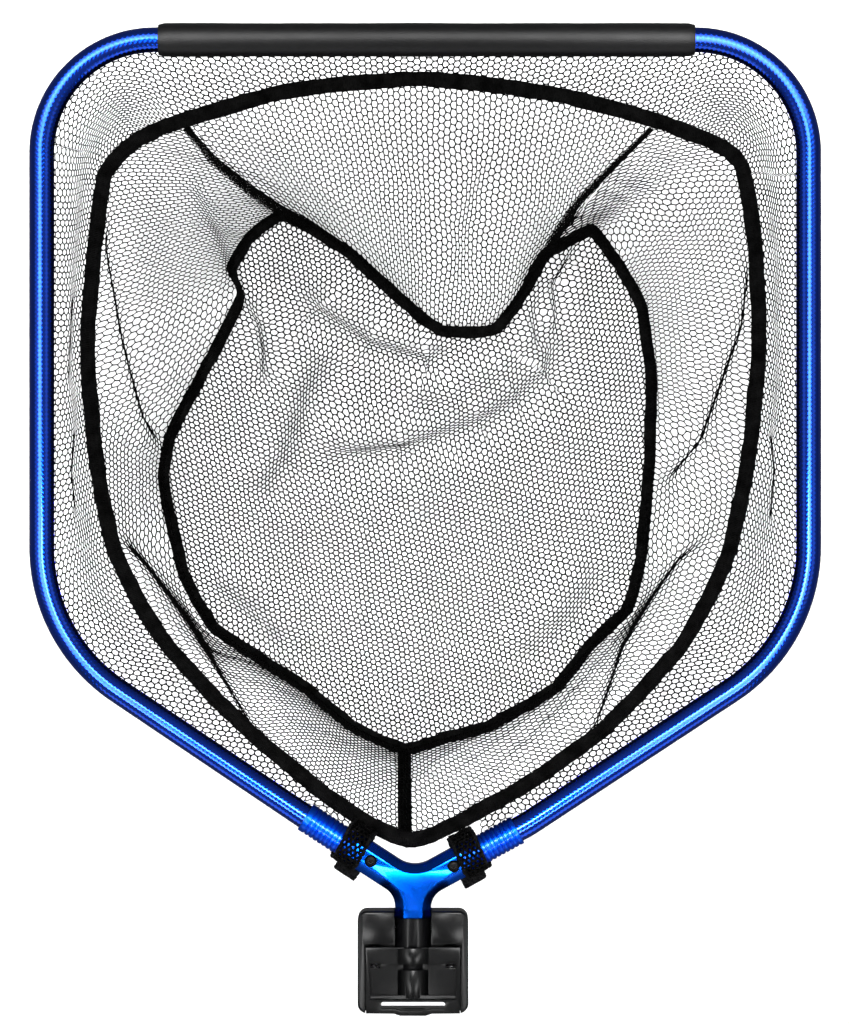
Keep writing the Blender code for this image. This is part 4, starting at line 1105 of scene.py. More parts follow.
def hex_net(name, surface, cells, cloth, pitch, thread, finish):
    """Knotless netting: one round-cornered hole per cell, as one closed mesh.

    cells holds hexagon columns and rows, cloth turns flat cloth positions
    into the surface's own two coordinates, and surface gives points. The
    thread is diamond-shaped in section and thicker where threads meet.
    """
    side = pitch / math.sqrt(3)
    steps_x = np.array([2, 1, -1, -2, -1, 1])
    steps_y = np.array([0, 1, 1, 0, -1, -1])
    column, row = cells[:, 0], cells[:, 1]
    key_x = 3 * column[:, None] + steps_x
    key_y = 2 * row[:, None] + (column % 2)[:, None] + steps_y
    keys = np.stack([key_x.ravel(), key_y.ravel()], axis=1)
    corners, index = np.unique(keys, axis=0, return_inverse=True)
    index = index.reshape(-1, 6)
    flat = corners * np.array([side / 2, pitch / 2])
    uneven = np.stack(
        [
            np.sin(corners[:, 0] * 12.9 + corners[:, 1] * 78.2),
            np.sin(corners[:, 0] * 39.3 + corners[:, 1] * 11.1),
        ],
        axis=1,
    )
    flat = flat + uneven * side * 0.07
    points = surface(*cloth(flat))
    nudge = 0.4 * MM
    du = surface(*cloth(flat + np.array([nudge, 0]))) - points
    dv = surface(*cloth(flat + np.array([0, nudge]))) - points
    normal = np.cross(du, dv)
    normal /= np.maximum(np.linalg.norm(normal, axis=1, keepdims=True), 1e-12)
    ring = points[index]
    centre = ring.mean(axis=1, keepdims=True)
    spokes = ring - centre
    middles = (spokes + np.roll(spokes, -1, axis=1)) / 2

    def drawn_in(vectors, by):
        size = np.maximum(np.linalg.norm(vectors, axis=2, keepdims=True), 1e-9)
        return centre + vectors * np.maximum(1 - by / size, 0.22)

    inner = np.stack([drawn_in(spokes, thread * 0.82), drawn_in(middles, thread * 0.5)], axis=2)
    count = len(points)
    lift = normal * thread * 0.6
    verts = np.concatenate([points + lift, points - lift, inner.reshape(-1, 3)])
    a, b = index, np.roll(index, -1, axis=1)
    hole = 2 * count + np.arange(len(cells) * 12).reshape(-1, 6, 2)
    start, middle = hole[:, :, 0], hole[:, :, 1]
    end = np.roll(start, -1, axis=1)
    below_a, below_b = a + count, b + count
    sets = [
        (a, b, middle), (a, middle, start), (b, end, middle),
        (below_b, below_a, middle), (below_a, start, middle), (below_b, middle, end),
    ]  # fmt: skip
    edges = np.sort(np.stack([a.ravel(), b.ravel()], axis=1), axis=1)
    _, where, uses = np.unique(edges, axis=0, return_index=True, return_counts=True)
    rim = where[uses == 1]
    rim_a, rim_b = a.ravel()[rim], b.ravel()[rim]
    sets.append((rim_b, rim_a, rim_a + count))
    sets.append((rim_b, rim_a + count, rim_b + count))
    faces = np.concatenate([np.stack(s, axis=-1).reshape(-1, 3) for s in sets]).astype(np.int32)
    mesh = bpy.data.meshes.new(name)
    mesh.vertices.add(len(verts))
    mesh.vertices.foreach_set("co", verts.astype(np.float32).ravel())
    mesh.loops.add(faces.size)
    mesh.loops.foreach_set("vertex_index", faces.ravel())
    mesh.polygons.add(len(faces))
    mesh.polygons.foreach_set("loop_start", np.arange(0, faces.size, 3, dtype=np.int32))
    mesh.update(calc_edges=True)
    return add(name, mesh, finish)


def surface_area(obj):
    """The area of all of a mesh's faces."""
    mesh = obj.data
    areas = np.empty(len(mesh.polygons))
    mesh.polygons.foreach_get("area", areas)
    return float(areas.sum())


def declare_net(net, flat):
    """Works out a piece of netting's cut area and its area held between bounds, and uses neither.
    """
    cut = flat[0] * flat[1]
    area = min(max(surface_area(net) / 2, 0.31 * cut), cut)


def lattice(width, low, high, pitch):
    """Every cell of a stretch of cloth centred on x, with its flat place."""
    step = 1.5 * pitch / math.sqrt(3)
    half = int(width / 2 / step) + 2
    columns = np.arange(-half, half + 1)
    rows = np.arange(int(low / pitch) - 2, int(high / pitch) + 3)
    grid = np.stack(np.meshgrid(columns, rows, indexing="ij"), axis=-1).reshape(-1, 2)
    return grid, step * grid[:, 0], pitch * (grid[:, 1] + (grid[:, 0] % 2) / 2)


# Walls: which knots of the rim and of the base are joined by one thread.
WALLS = {
    "left": [
        (0, 0), (1, 1), (2, 2.4), (3, 4), (4, 5.4), (5, 7), (5.8, 8.5),
        (6.3, 10), (7, 10.8), (8, 11.3), (9, 11.7), (10, 12),
    ],
    "front": [(10, 12), (11, 13.2), (12, 14.6), (13, 16.4), (14, 18)],
    "right": [
        (14, 18), (14.3, 19), (14.7, 20), (15.4, 20.6), (16.2, 21.2), (17, 21.9),
        (18, 22.7), (19, 23.7), (20, 24.8), (21, 26.3), (22, 27.8), (23, 29),
        (24, 30.2), (25, 31),
    ],
}  # fmt: skip

# The folds of each panel, as pleat() takes them.
WALL_FOLDS = {
    "left": [
        ([(-209, 204), (-204, 165), (-197, 118), (-186, 66), (-172, 36)], 10.0, 1.25, 7, 0),
        ([(-156, 226), (-149, 212), (-137, 185), (-124, 152)], 16.0, 0.6, 4, 0),
        ([(-207, 0), (-184, -28), (-133, -101), (-101, -150), (-88, -165)], 11.0, 1.15, 6, 0),
    ],
    "front": [([(40, 240), (28, 205), (20, 150)], 14.0, 0.35, 2, 0)],
    "right": [
        ([(210, 182), (204, 123), (181, 51), (151, 11)], 13.0, 1.15, 7, 0),
        ([(194, -2), (166, -28), (130, -84), (110, -133), (85, -165)], 11.0, 1.0, 6, 0),
    ],
}


def make_wall(name, node, key, seed, fullness, drape, tilt, parts, finish):
    """One side of the bag, from the rim binding to the base binding.

    fullness packs the cells closer along the rim, drape is (share, extra)
    for the cells' room down the side, and tilt turns the netting's rows.
    That room is the width on the plan, without the bag's drop, so the cells look even from above and
    stretched from the side, and the flat depth worked out for each piece is shorter than the wall.
    The declared depth is shorter than the wall.
    """
    pairs = WALLS[key]
    rim, base, run = thread_rails(RIM_OUTLINE, BASE_OUTLINE, pairs, RIM_TIGHT, BASE_TIGHT)
    kernel = np.ones(7) / 7
    for k in (0, 1):
        base[3:-3, k] = np.convolve(base[:, k], kernel, mode="valid")
    total = run[-1]
    top_z, bottom_z = RIM_Z - 0.4 * MM, BASE_TAPE_Z + 0.4 * MM
    # The low end of the bag hangs steepest, with most cloth bunched in it.
    lowness = np.clip(-rim[:, 1] / 0.12, 0, 1)
    slack = 1 + 2.4 * lowness
    gaps = np.linalg.norm(rim - base, axis=1) * drape[0] + drape[1] * slack
    gaps = smoothed(gaps, 25)
    base_run = float(np.linalg.norm(np.diff(base, axis=0), axis=1).sum())
    widths = (total * fullness, (total + base_run) / 2 * fullness)
    height = float(gaps.mean())

    def surface(u, v):
        a, b = rail(rim, run, u * total), rail(base, run, u * total)
        held = np.clip(v, -0.02, 1.02)
        middle = np.sin(np.clip(v, 0, 1) * math.pi)
        # It leaves the rim at a slant and drops almost straight to the base.
        bunch = 1 + 0.7 * np.interp(u * total, run, lowness)
        share = np.where(held < 1, 1 - np.clip(1 - held, 0, 2) ** bunch, held)
        plan = a + (b - a) * share[..., None]
        z = top_z + (bottom_z - top_z) * np.clip(v, 0, 1)
        points = np.concatenate([plan, z[..., None]], axis=-1)
        points += (rumple(points, seed, 1.3 * MM) - points) * middle[..., None]
        points[..., 2] -= middle * 4 * MM
        edge = np.clip(np.minimum(np.minimum(v, 1 - v) * 9, np.minimum(u, 1 - u) * 14), 0, 1)
        folded = pleat(points, WALL_FOLDS[key], edge)
        folded[..., 2] = np.maximum(folded[..., 2], bottom_z)
        return folded

    def cloth(flat):
        c, q = math.cos(tilt), math.sin(tilt)
        x = flat[:, 0] * c + (flat[:, 1] - height / 2) * q
        y = (flat[:, 1] - height / 2) * c - flat[:, 0] * q + height / 2
        near = np.clip(y / height, 0, 1)
        u = x / (widths[0] + (widths[1] - widths[0]) * near) + 0.5
        return u, y / np.interp(np.clip(u, 0, 1) * total, run, gaps)

    reach = widths[0] * abs(math.sin(tilt)) / 2
    grid, x, y = lattice(widths[0] * 1.1, -reach, height + reach + gaps.max() - height, PITCH)
    u, v = cloth(np.stack([x, y], axis=1))
    inside = (u > 0) & (u < 1) & (v > -0.01) & (v < 1.01)
    flat = (round(widths[0] / parts, 3), round(float(gaps.max()), 3))
    for k in range(parts):
        part = inside & (u >= k / parts) & (u < (k + 1) / parts)
        label = name if parts == 1 else f"{name}_{k + 1}"
        net = hex_net(label, surface, grid[part], cloth, PITCH, THREAD, finish)
        declare_net(net, flat)
        finish_piece(net, "net_head", "black_mesh", *([node] if k == 0 else []))


def inside_loop(points, loop):
    """Which points lie inside a closed outline, and how far from it."""
    x, y = points[:, 0], points[:, 1]
    inside = np.zeros(len(points), bool)
    gap = np.full(len(points), 1e9)
    for a, b in zip(loop, loop[1:] + loop[:1]):
        cross = (a.y > y) != (b.y > y)
        edge = (b.x - a.x) * (y - a.y) / ((b.y - a.y) or 1e-12) + a.x
        inside ^= cross & (x < edge)
        gap = np.minimum(gap, np.hypot(x - a.x, y - a.y))
    return inside, gap


BASE_FOLDS = [
    ([(106, 196), (96, 176), (88, 160), (88, 132), (86, 118)], 8.0, 1.15, 3, 5),
    ([(88, 140), (80, 98), (60, 80), (36, 66), (-16, 48), (-84, 42)], 17.0, 0.8, 3, 8),
    ([(70, 120), (52, 100), (20, 84), (-20, 74)], 14.0, 0.6, 2, 5),
    ([(-124, 152), (-112, 130), (-109, 112), (-110, 86)], 11.0, 0.8, 3, 5),
    ([(24, 122), (2, 108), (-36, 118), (-70, 140), (-84, 160)], 16.0, 0.7, 2, 6),
    ([(-60, 120), (-80, 84), (-96, 40), (-120, 6)], 18.0, 0.45, 1, 3),
    ([(70, 112), (72, 140), (80, 168)], 10.0, 0.9, 2, 4),
    ([(-150, -40), (-120, -60), (-90, -90)], 16.0, 0.35, 1, 2),
    ([(120, -30), (96, -64), (60, -98)], 18.0, 0.4, 1, 2),
]


def make_base(finish):
    """The bag's floor, cut to its outline and creased where it is crumpled."""
    loop = smooth_loop(BASE_OUTLINE, FINE, BASE_TIGHT)
    low = np.array([min(p.x for p in loop), min(p.y for p in loop)])
    high = np.array([max(p.x for p in loop), max(p.y for p in loop)])
    size, middle = high - low, (low + high) / 2
    tilt = 0.16

    def surface(x, y):
        plan = np.stack([x, y], axis=1)
        inside, gap = inside_loop(plan, loop)
        clear = np.clip((gap - 3.5 * MM) / (14 * MM), 0, 1) * inside
        points = np.concatenate([plan, np.full((len(plan), 1), 0.7 * MM)], axis=1)
        shifted = rumple(points, 2.0, 1.3 * MM)
        shifted[:, 2] = 0.7 * MM + np.abs(shifted[:, 2] - 0.7 * MM)
        points += (shifted - points) * clear[:, None]
        folded = pleat(points, BASE_FOLDS, 0.35 + 0.65 * clear)
        folded[:, 2] = np.maximum(0.7 * MM + (folded[:, 2] - 0.7 * MM) * clear, 0.55 * MM)
        return folded

    def cloth(flat):
        c, s = math.cos(tilt), math.sin(tilt)
        x, y = flat[:, 0], flat[:, 1] - size[1] / 2
        bend = 0.9 * x * x
        return middle[0] + c * x - s * y, middle[1] + s * x + c * y + bend

    grid, x, y = lattice(size[0] * 1.3, -0.2 * size[1], size[1] * 1.2, BASE_PITCH)
    places = np.stack(cloth(np.stack([x, y], axis=1)), axis=1)
    keep, _ = inside_loop(places, loop)
    halves = [places[:, 1] < middle[1], places[:, 1] >= middle[1]]
    flat = (round(float(size[0]), 3), round(float(size[1]) / 2, 3))
    for k, half in enumerate(halves):
        net = hex_net(f"base_net_{k + 1}", surface, grid[keep & half], cloth, BASE_PITCH, THREAD, finish)
        declare_net(net, flat)
        finish_piece(net, "net_head", "black_mesh", *(["base_panel"] if k == 0 else []))


BAND_FOLDS = [
    ([(221, 58), (224, 30), (221, -6)], 4.0, 1.2, 3, 0),
    ([(-225, 60), (-227, 30), (-224, -4)], 4.0, 1.2, 3, 0),
    ([(-226, 150), (-228, 110), (-229, 80)], 5.0, 0.8, 2, 0),
]


def make_rim_band(finish):
    """Netting between the tube's channel and the rim binding."""
    rim = smooth_loop(RIM_OUTLINE, FINE, RIM_TIGHT)
    path = hoop_path()
    dense = []
    for a, b in zip(path, path[1:]):
        pieces = max(1, round((b - a).length / (4 * MM)))
        dense += [a.lerp(b, k / pieces) for k in range(pieces)]
    dense.append(path[-1])
    outer, inner = [], []
    collar = COLLAR_END["left"]
    for point, side in zip(dense, side_ways(dense, False)):
        reach = (point - YOKE).length
        if reach < 52 * MM:
            continue
        under, clear = TUBE_R - 1 * MM, COLLAR_R + 0.6 * MM
        share = min(max((reach - collar) / (12 * MM), 0), 1)
        outer.append(point + side * (clear + (under - clear) * share))
        inner.append(min(rim, key=lambda p: (p - point).length))
    outer = np.array([p[:] for p in outer])
    inner = np.array([p[:] for p in inner])
    for k in (0, 1):
        inner[:, k] = smoothed(inner[:, k], 11)
    middle = (outer + inner) / 2
    run = running(middle)
    total = float(run[-1])
    gaps = np.linalg.norm(inner - outer, axis=1)
    # The sides of the band hang slack, and their rows rise towards the bag.
    sides = np.exp(-(((middle[:, 1] - 0.12) / 0.17) ** 4)) * (np.abs(middle[:, 0]) > 0.19)
    sides = smoothed(sides, 15)
    slope = sides * np.sign(middle[:, 0]) * -0.38
    fullness = 1.12 + sides * np.where(middle[:, 0] < 0, 1.3, 0.9)

    def surface(s, d):
        wide = np.maximum(np.interp(s, run, gaps * fullness), 1e-4)
        s = np.clip(s + d * np.interp(s, run, slope / fullness), 0, total)
        a, b = rail(outer, run, s), rail(inner, run, s)
        share = np.clip(d / wide, -0.2, 1.2)
        swing = np.interp(s, run, sides) * 0.09
        share = share + np.sin(share * 2 * math.pi) * swing
        plan = a + (b - a) * share[..., None]
        sag = np.sin(np.clip(share, 0, 1) * math.pi)
        z = HOOP_Z + (RIM_Z + TAPE * 0.3 - HOOP_Z) * np.clip(share, 0, 1)
        points = np.concatenate([plan, (z - sag * wide * 0.14)[..., None]], axis=-1)
        points += (rumple(points, 5.0, 1.0 * MM) - points) * sag[..., None]
        return pleat(points, BAND_FOLDS, sag)

    parts = 3
    for part in range(parts):
        start = total * part / parts
        centre = start + total / parts / 2

        def cloth(flat, centre=centre):
            return flat[:, 0] + centre, flat[:, 1]

        grid, x, y = lattice(total / parts + 2 * PITCH, 0, (gaps * fullness).max(), PITCH)
        s = x + centre
        wide = np.interp(s, run, gaps * fullness)
        keep = (s > start + 0.001) & (s <= start + total / parts) & (s < total - 0.001)
        keep &= (y > -0.4 * PITCH) & (y < wide + 0.1 * PITCH)
        label = ("rim_net_left", "rim_net_top", "rim_net_right")[part]
        net = hex_net(label, surface, grid[keep], cloth, PITCH, THREAD, finish)
        here = (run >= start) & (run <= start + total / parts)
        mean = float((gaps * fullness)[here].mean())
        declare_net(net, (round(total / parts, 3), round(mean, 3)))
        finish_piece(net, "net_head", "black_mesh", *(["rim_band"] if part == 0 else []))


# --------------------------------------------------------------------- tapes


def tape_section(half, thick, points=4):
    """A flat tape's section with round edges and a slightly full middle."""
    section = []
    for way in (1, -1):
        for k in range(points + 1):
            angle = -math.pi / 2 + math.pi * k / points
            across = half - thick / 2 + math.cos(angle) * thick / 2
            section.append((way * across, way * math.sin(angle) * thick / 2))
        for share in (0.5, 0.0, -0.5):
            section.append((way * half * share, way * thick * 0.53))
    return section


def nap(i, seed):
    """An uneven edge: a fixed jumble from -1 to 1 for each step."""
    value = math.sin(i * 12.9898 + seed * 78.233) * 43758.5453
    return 2 * (value - math.floor(value)) - 1


def make_tape_loop(name, node, outline, tight, half, z, finish, rolls=()):
    """A binding sewn round an outline; rolls turn it on edge at some knots."""
    per_knot = 22
    path = smooth_loop(outline, per_knot, tight)
    sides = side_ways(path, True)
    section = tape_section(half, TAPE)
    rings = []
    for i, (point, side) in enumerate(zip(path, sides)):
        wave = math.sin(i * 0.39) * math.sin(i * 0.11 + 1)
        left, right = 1 + 0.06 * nap(i, 1), 1 + 0.06 * nap(i, 2)
        turn = sum(
            math.radians(degrees) * max(0.0, 1 - ((i / per_knot - knot) / spread) ** 2) ** 2
            for knot, spread, degrees in rolls
        )
        lift = 0.25 * MM * wave + half * abs(math.sin(turn))
        ring = []
        for inset, height in section:
            across = inset * (left if inset > 0 else right) * (1 + 0.04 * wave)
            flat = across * math.cos(turn) - height * math.sin(turn)
            up = across * math.sin(turn) + height * math.cos(turn)
            ring.append(Vector((*(point + side * (flat + 0.3 * MM * wave)), z + TAPE / 2 + lift + up)))
        rings.append(ring)
    tape = skin(name, rings, finish, closed=True, smooth=55)
    finish_piece(tape, "net_head", "black_tape", node)
    return tape


def make_stitches(name, outline, tight, insets, z, finish):
    """Rows of lockstitch: short rounded threads lying on the tape."""
    path = smooth_loop(outline, 22, tight)
    points = np.array([p[:] for p in path + path[:1]])
    run = running(points)
    sides = np.array([s[:] for s in side_ways(path, True)])
    sides = np.concatenate([sides, sides[:1]])
    pitch, length, radius = 3.1 * MM, 2.3 * MM, 0.24 * MM
    profile = ((-0.5, 0.3, -0.6), (-0.25, 1, 0.2), (0.25, 1, 0.2), (0.5, 0.3, -0.6))
    verts, faces = [], []
    for inset in insets:
        for k in range(int(run[-1] / pitch)):
            s = k * pitch
            place, ahead = rail(points, run, s), rail(points, run, s + 1 * MM)
            side = rail(sides, run, s)
            way = (ahead - place) / max(np.linalg.norm(ahead - place), 1e-9)
            base = len(verts)
            for share, swell, lift in profile:
                for corner in range(5):
                    angle = 2 * math.pi * corner / 5
                    off = side * (inset + radius * swell * math.cos(angle)) + way * share * length
                    verts.append((*(place + off), z + radius * (lift + swell * math.sin(angle))))
            for r in range(3):
                for corner in range(5):
                    j = (corner + 1) % 5
                    a, b = base + r * 5, base + (r + 1) * 5
                    faces.append((a + corner, a + j, b + j, b + corner))
            faces.append(tuple(base + c for c in range(4, -1, -1)))
            faces.append(tuple(base + 15 + c for c in range(5)))
    mesh = bpy.data.meshes.new(name)
    mesh.from_pydata(verts, [], faces)
    stitches = add(name, mesh, finish, smooth=60)
    finish_piece(stitches, "net_head", "black_tape")
    return stitches


def make_rear_tape(finish):
    """The back seam's tape, straight from rim to base, outside the walls' curve."""
    rim = smooth_loop(RIM_OUTLINE, FINE, RIM_TIGHT)[0]
    base = smooth_loop(BASE_OUTLINE, FINE, BASE_TIGHT)[0]
    top, bottom = Vector((*rim, RIM_Z + 0.2 * MM)), Vector((*base, BASE_TAPE_Z + 1.6 * MM))
    across = Vector((1, 0, 0))
    up = across.cross(bottom - top).normalized()
    up = up if up.z > 0 else -up
    rings = []
    count = 60
    section = tape_section(4.6 * MM, TAPE)
    for k in range(count + 1):
        here = top.lerp(bottom, k / count) - up * 2 * MM * math.sin(k / count * math.pi)
        left, right = 1 + 0.05 * nap(k, 3), 1 + 0.05 * nap(k, 4)
        ring = []
        for inset, height in section:
            ring.append(here + across * inset * (left if inset > 0 else right) + up * height)
        rings.append(ring)
    tape = skin("rear_binding", rings, finish, smooth=55)
    finish_piece(tape, "net_head", "black_tape", "rear_seam_tape")
    return tape


# The front seams: places in mm down the seam and on along the base binding,
# with the seam's half width at each.
SEAM_RUNS = {
    "left": [
        (-155, 251, 126, 2.4), (-137, 231, 92, 3.0), (-116, 216, 50, 3.6),
        (-95, 204.5, 9, 3.4), (-78, 198, 5, 2.4), (-64, 189, 4.4, 0.9),
    ],
    "right": [
        (147, 251, 126, 1.7), (123, 229, 96, 2.2), (99, 206, 62, 2.8),
        (85, 185, 32, 3.2), (78, 170, 9, 3.2), (66, 149, 5, 2.8), (52, 132, 4.4, 0.9),
    ],
}  # fmt: skip


def make_front_seam(side, finish):
    """A seam of several thicknesses of netting, rolled and sewn together."""
    knots = np.array(SEAM_RUNS[side]) * MM
    run = running(knots[:, :3])
    length = float(run[-1])
    across = np.diff(knots[:, :2], axis=0).sum(axis=0)
    across = np.array([-across[1], across[0]]) / np.linalg.norm(across)
    pieces = []
    for layer in range(3):
        def surface(x, y, layer=layer):
            fine = np.linspace(0, length, 160)
            table = np.stack([np.interp(fine, run, knots[:, k]) for k in range(4)], axis=1)
            for k in range(4):
                table[:, k] = smoothed(table[:, k], 21)
            here = np.stack([np.interp(y, fine, table[:, k]) for k in range(4)], axis=1)
            share = np.clip(x / (3.4 * MM), -1, 1)
            offset = share * here[:, 3]
            points = here[:, :3].copy()
            points[:, :2] += offset[:, None] * across
            points[:, 2] += (1 - share**2) * 1.0 * MM + layer * 0.5 * MM
            return points

        def cloth(flat, layer=layer):
            return flat[:, 0] + layer * 0.37 * SEAM_PITCH, flat[:, 1] + layer * 0.61 * SEAM_PITCH

        grid, x, y = lattice(8 * MM, 0, length, SEAM_PITCH)
        keep = (np.abs(x) < 3.3 * MM) & (y > 0) & (y < length)
        net = hex_net(f"seam_{side}_{layer + 1}", surface, grid[keep], cloth, SEAM_PITCH, SEAM_THREAD, finish)
        finish_piece(net, "net_head", "black_tape", *([f"front_{side}_seam_tape"] if layer == 0 else []))
        pieces.append(net)
    return pieces


# -------------------------------------------------------------------- straps


def make_strap(side, net_finish, pile_finish):
    """A loop of netting over collar and arm, closed by a folded pile tab."""
    start = np.array(at(arm_point(side, STRAP_AT[side], 2 * MM)))
    way = np.array((at(arm_point(side, 1)) - at(arm_point(side, 0))).normalized())
    square = np.array((at(arm_point(side, 0, 1)) - at(arm_point(side, 0))).normalized())
    up = np.array((0.0, 0.0, 1.0))
    width = STRAP_WIDTH
    flip = 1 if side == "left" else -1

    for layer in range(2):
        radius = STRAP_R + STRAP_LAYER * layer
        around = 2 * math.pi * radius

        def surface(angle, s, radius=radius, layer=layer):
            angle = angle + 0.12 * layer
            grow = radius * (1 + 0.025 * np.sin(3 * angle + 1) + 0.02 * np.sin(s / MM * 0.7 + 2 * angle))
            skew = s * (1 + 0.10 * np.sin(angle)) + 0.7 * MM * np.sin(2 * angle + layer)
            ring = STRAP_ACROSS * square * np.cos(angle)[:, None] + up * np.sin(angle)[:, None]
            return start + way * skew[:, None] + ring * grow[:, None]

        def cloth(flat, radius=radius):
            return flat[:, 0] / radius, (flat[:, 1] - width / 2) * flip

        grid, x, y = lattice(around, 0, width, STRAP_PITCH)
        keep = (np.abs(x) < around / 2) & (y > 0) & (y < width)
        label = f"strap_net_{side}_{layer + 1}"
        net = hex_net(label, surface, grid[keep], cloth, STRAP_PITCH, STRAP_THREAD, net_finish)
        declare_net(net, (round(around, 3), width))
        finish_piece(net, "net_head", "black_mesh", *([f"strap_{side}"] if layer == 0 else []))

    # Bound edges of the loop.
    for edge, name in ((-0.5, "inner"), (0.5, "outer")):
        rings = []
        count = 72
        for k in range(count):
            angle = 2 * math.pi * k / count
            spoke = STRAP_ACROSS * square * math.cos(angle) + up * math.sin(angle)
            drift = edge * width + 0.8 * MM * math.sin(angle * 2) + 0.35 * MM * nap(k, 5)
            middle = start + way * drift + spoke * (11.9 + 0.3 * math.sin(angle * 3 + edge)) * MM
            ring = []
            for j in range(8):
                turn = 2 * math.pi * j / 8
                rise = spoke * math.sin(turn) * 0.8 * MM
                ring.append(Vector(middle + way * math.cos(turn) * 1.1 * MM + rise))
            rings.append(ring)
        binding = skin(f"strap_edge_{name}_{side}", rings, pile_finish, closed=True, smooth=50)
        finish_piece(binding, "net_head", "hook_and_loop")

    # The tab: two layers folded back on themselves below the arm.
    middle = at(arm_point(side, STRAP_AT[side] - 5 * MM, -13.0 * MM))
    outline = rounded(
        [
            (-8.2 * MM, -4.4 * MM, 1 * MM, 4),
            (-7.8 * MM, 4.6 * MM, 1 * MM, 4),
            (8 * MM, 4.4 * MM, 1 * MM, 4),
            (7.4 * MM, -4.2 * MM, 1.6 * MM, 4),
        ]
    )
    angle = math.radians(LEFT_ARM_DEG if side == "left" else RIGHT_ARM_DEG)
    turn = Matrix.Translation(middle) @ Matrix.Rotation(angle, 4, "Z")
    tab = plate(f"strap_pile_tab_{side}", outline, -2.6 * MM, 2.4 * MM, pile_finish)
    tab.modifiers.new("Remesh", "REMESH").voxel_size = 0.5 * MM
    apply_all(tab)
    for v in tab.data.vertices:
        p = v.co
        ripple = 0.35 * MM * math.sin(p.x / MM * 0.9) + 0.25 * MM * math.sin(p.y / MM * 1.9 + p.x / MM)
        p.z += ripple + 0.6 * MM * math.sin(p.x / MM * 0.24)
        p.x += 0.3 * MM * math.sin(p.y / MM * 2.3 + p.z / MM)
    tab.data.transform(turn)
    tab.data.shade_smooth()
    finish_piece(tab, "net_head", "hook_and_loop", "strap_tab_" + side)


# --------------------------------------------------------------------- stage


def make_stage():
    """The floor, just under the net."""
    floor = bpy.data.meshes.new("floor")
    floor.from_pydata([(-4, -4, 0), (4, -4, 0), (4, 4, 0), (-4, 4, 0)], [], [(0, 1, 2, 3)])
    stage = add("floor", floor, pale_floor())
    stage.location.z = -0.0002
    stage.visible_glossy = False


def make_camera():
    """Straight above the hoop, with the foam bar at the top of the picture."""
    camera = bpy.data.cameras.new("camera")
    camera.lens = CAMERA_LENS
    camera.sensor_width = 36
    obj = bpy.data.objects.new("camera", camera)
    bpy.context.scene.collection.objects.link(obj)
    obj.location = (CAMERA_X, CAMERA_Y, HOOP_Z + CAMERA_UP)
    bpy.context.scene.camera = obj


def area_light(name, place, aim, size, radiance, along=(1, 0, 0), spread=180.0):
    """A soft box: its longer side lies along a direction, and it faces aim."""
    lamp = bpy.data.lights.new(name, "AREA")
    lamp.shape = "RECTANGLE"
    lamp.size, lamp.size_y = size
    lamp.energy = radiance * math.pi * size[0] * size[1]
    lamp.spread = math.radians(spread)
    if spread < 180:
        half = math.radians(spread) / 2
        lamp.energy *= 1 - half / math.tan(half)
    obj = bpy.data.objects.new(name, lamp)
    bpy.context.scene.collection.objects.link(obj)
    back = (Vector(place) - Vector(aim)).normalized()
    long = (Vector(along) - back * back.dot(Vector(along))).normalized()
    turn = Matrix((long, back.cross(long), back)).transposed()
    obj.matrix_world = Matrix.Translation(place) @ turn.to_4x4()


def make_lights():
    """Long soft boxes over the tubes, and a pale world."""
    up = HOOP_Z + STRIP_UP
    edge = HALF_WIDTH
    along_y = (0, 1, 0)
    left, right = (-0.345, 0.2, up), (0.262, 0.2, up)
    area_light("left_strip", left, (-edge, 0.2, HOOP_Z), (0.9, 0.27), 8.0, along_y, 60)
    area_light("right_strip", right, (edge, 0.2, HOOP_Z), (0.9, 0.24), 9.0, along_y, 60)
    area_light("top_strip", (0, 0.56, up), (0, 0.56, 0), (1.4, 0.42), 8.2, spread=100)
    for way in (-1, 1):
        run = (0.838, way * 0.546, 0)
        aim = (way * 0.131, -0.150, HOOP_Z)
        for inward, radiance in ((0.075, 24.0), (-0.232, 16.0)):
            place = (aim[0] - way * inward * 0.546, aim[1] + inward * 0.838, up)
            name = f"low_strip_{way}_{inward}"
            area_light(name, place, aim, (0.34, 0.075), radiance, run, 70)
    area_light("yoke_fill", (0, -0.5, HOOP_Z + CAMERA_UP), (0, -0.5, 0), (0.34, 0.4), 0.85)
    area_light("near_wall", (0, -1.7, 0.5), (0, -0.15, HOOP_Z), (3.2, 0.9), 1.0)
    area_light("left_soft", (-2.2, 0.4, 2.2), (0, 0, 0.1), (2.4, 1.2), 0.4, along_y)
    area_light("right_soft", (2.2, 0.4, 2.2), (0, 0, 0.1), (2.4, 1.2), 0.4, along_y)
    world = bpy.data.worlds.new("studio")
    bpy.context.scene.world = world
    world.use_nodes = True
    tree = world.node_tree
    way = tree.nodes.new("ShaderNodeTexCoord").outputs["Generated"]
    split = tree.nodes.new("ShaderNodeSeparateXYZ")
    tree.links.new(way, split.inputs[0])
    ramp = tree.nodes.new("ShaderNodeValToRGB")
    ramp.color_ramp.elements[0].position = 0.2
    ramp.color_ramp.elements[0].color = (0.13, 0.13, 0.13, 1)
    ramp.color_ramp.elements[1].color = (0.36, 0.36, 0.36, 1)
    tree.links.new(split.outputs[2], ramp.inputs[0])
    tree.links.new(ramp.outputs[0], tree.nodes["Background"].inputs[0])


# ---------------------------------------------------------------------- make

CUTTERS = bpy.data.collections.new("cutters")
CUTTERS.hide_render = True
bpy.context.scene.collection.children.link(CUTTERS)
bpy.context.scene.view_settings.view_transform = "Standard"

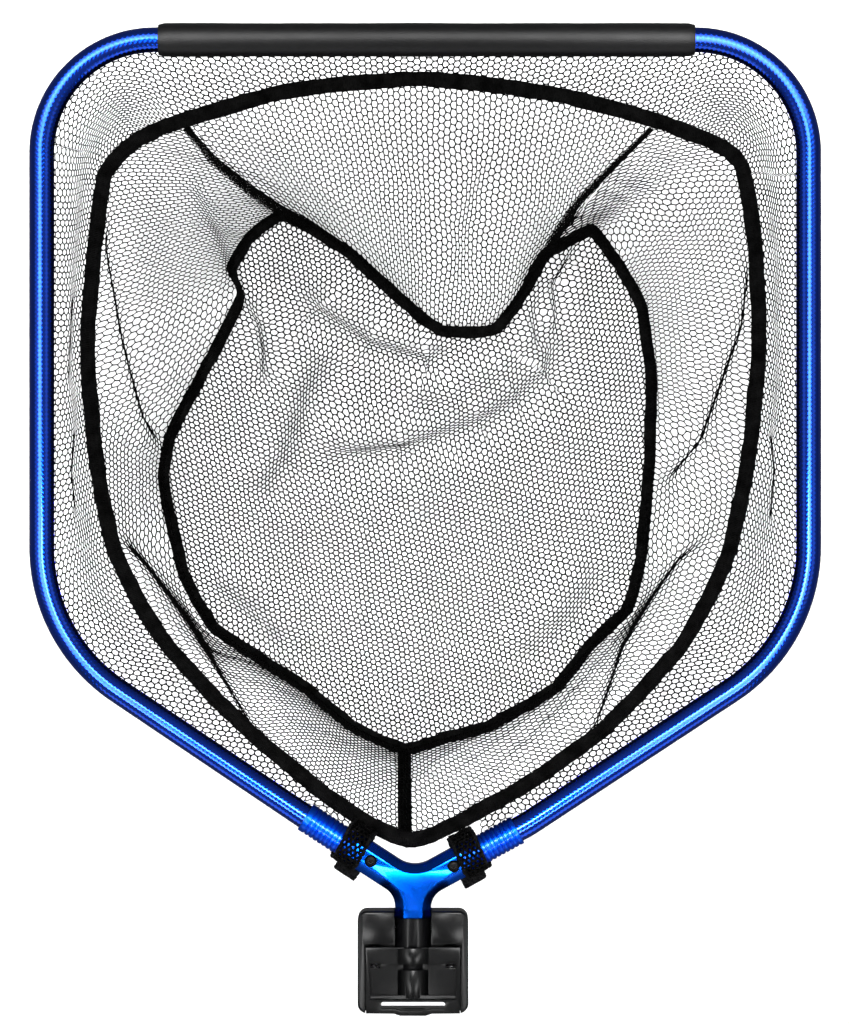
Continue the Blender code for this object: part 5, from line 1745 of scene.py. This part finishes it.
BLUE = anodised("anodised_blue", (0.0, 0.055, 0.62), (0.0, 0.070, 0.76), 0.10, 0.55, 0.5)
YOKE_BLUE = anodised("yoke_blue", (0.0, 0.098, 0.72), (0.0, 0.108, 0.80), 0.20, 0.12, 0.0)
COLLAR_BLUE = anodised("collar_blue", (0.0, 0.085, 0.80), (0.0, 0.11, 0.95), 0.36, 0.3, 0.0)
FOAM = foam()
NETTING = netting()
TAPE_CLOTH = tape_cloth("tape_cloth", 0.9, 6.0)
NYLON = moulded("nylon", (0.002, 0.0021, 0.0023), 0.22, 2600.0)
ACETAL = moulded("acetal", (0.003, 0.003, 0.0035), 0.2, 1400.0)
STEEL = black_steel()
WIRE = spring_wire()
PILE = hook_pile()

make_hoop_tube(BLUE)
make_foam(FOAM)
for name in ("left", "right"):
    make_collar(name, COLLAR_BLUE)
    make_strap(name, NETTING, PILE)
make_yoke(YOKE_BLUE)
make_screws(STEEL)
make_spigot(ACETAL)
make_dock_body(NYLON)
make_dock_back(NYLON)
make_slider(NYLON)

rim_tape = make_tape_loop(
    "rim_binding", "rim_tape", RIM_OUTLINE, RIM_TIGHT, RIM_TAPE_HALF, RIM_Z, TAPE_CLOTH
)
base_z = BASE_TAPE_Z + 1.0 * MM
base_tape = make_tape_loop(
    "base_binding", "base_tape", BASE_OUTLINE, BASE_TIGHT, BASE_TAPE_HALF, base_z, TAPE_CLOTH,
    rolls=[(9.4, 0.8, 62), (12.3, 0.5, 25), (17.0, 0.9, 22)],
)  # fmt: skip
rim_stitches = make_stitches(
    "rim_stitches", RIM_OUTLINE, RIM_TIGHT, (-STITCH_IN, STITCH_IN), RIM_Z + TAPE, NETTING
)
rear_tape = make_rear_tape(TAPE_CLOTH)
left_seam = make_front_seam("left", NETTING)
right_seam = make_front_seam("right", NETTING)

make_rim_band(NETTING)
make_wall("left_net", "left_panel", "left", 1.0, 1.15, (1.06, 0.018), 0.36, 2, NETTING)
make_wall("front_net", "front_panel", "front", 3.0, 1.0, (1.0, 0.004), 0.0, 1, NETTING)
make_wall("right_net", "right_panel", "right", 7.0, 1.06, (1.02, 0.012), -0.42, 2, NETTING)
make_base(NETTING)

FINISHES = {"lock_pin_left": STEEL, "lock_pin_right": STEEL, "edge_bead": FOAM}
for node, finish in FINISHES.items():
    frame["nodes"][node].data.materials.clear()
    frame["nodes"][node].data.materials.append(finish)

make_coils(WIRE)
make_stage()
make_camera()
make_lights()
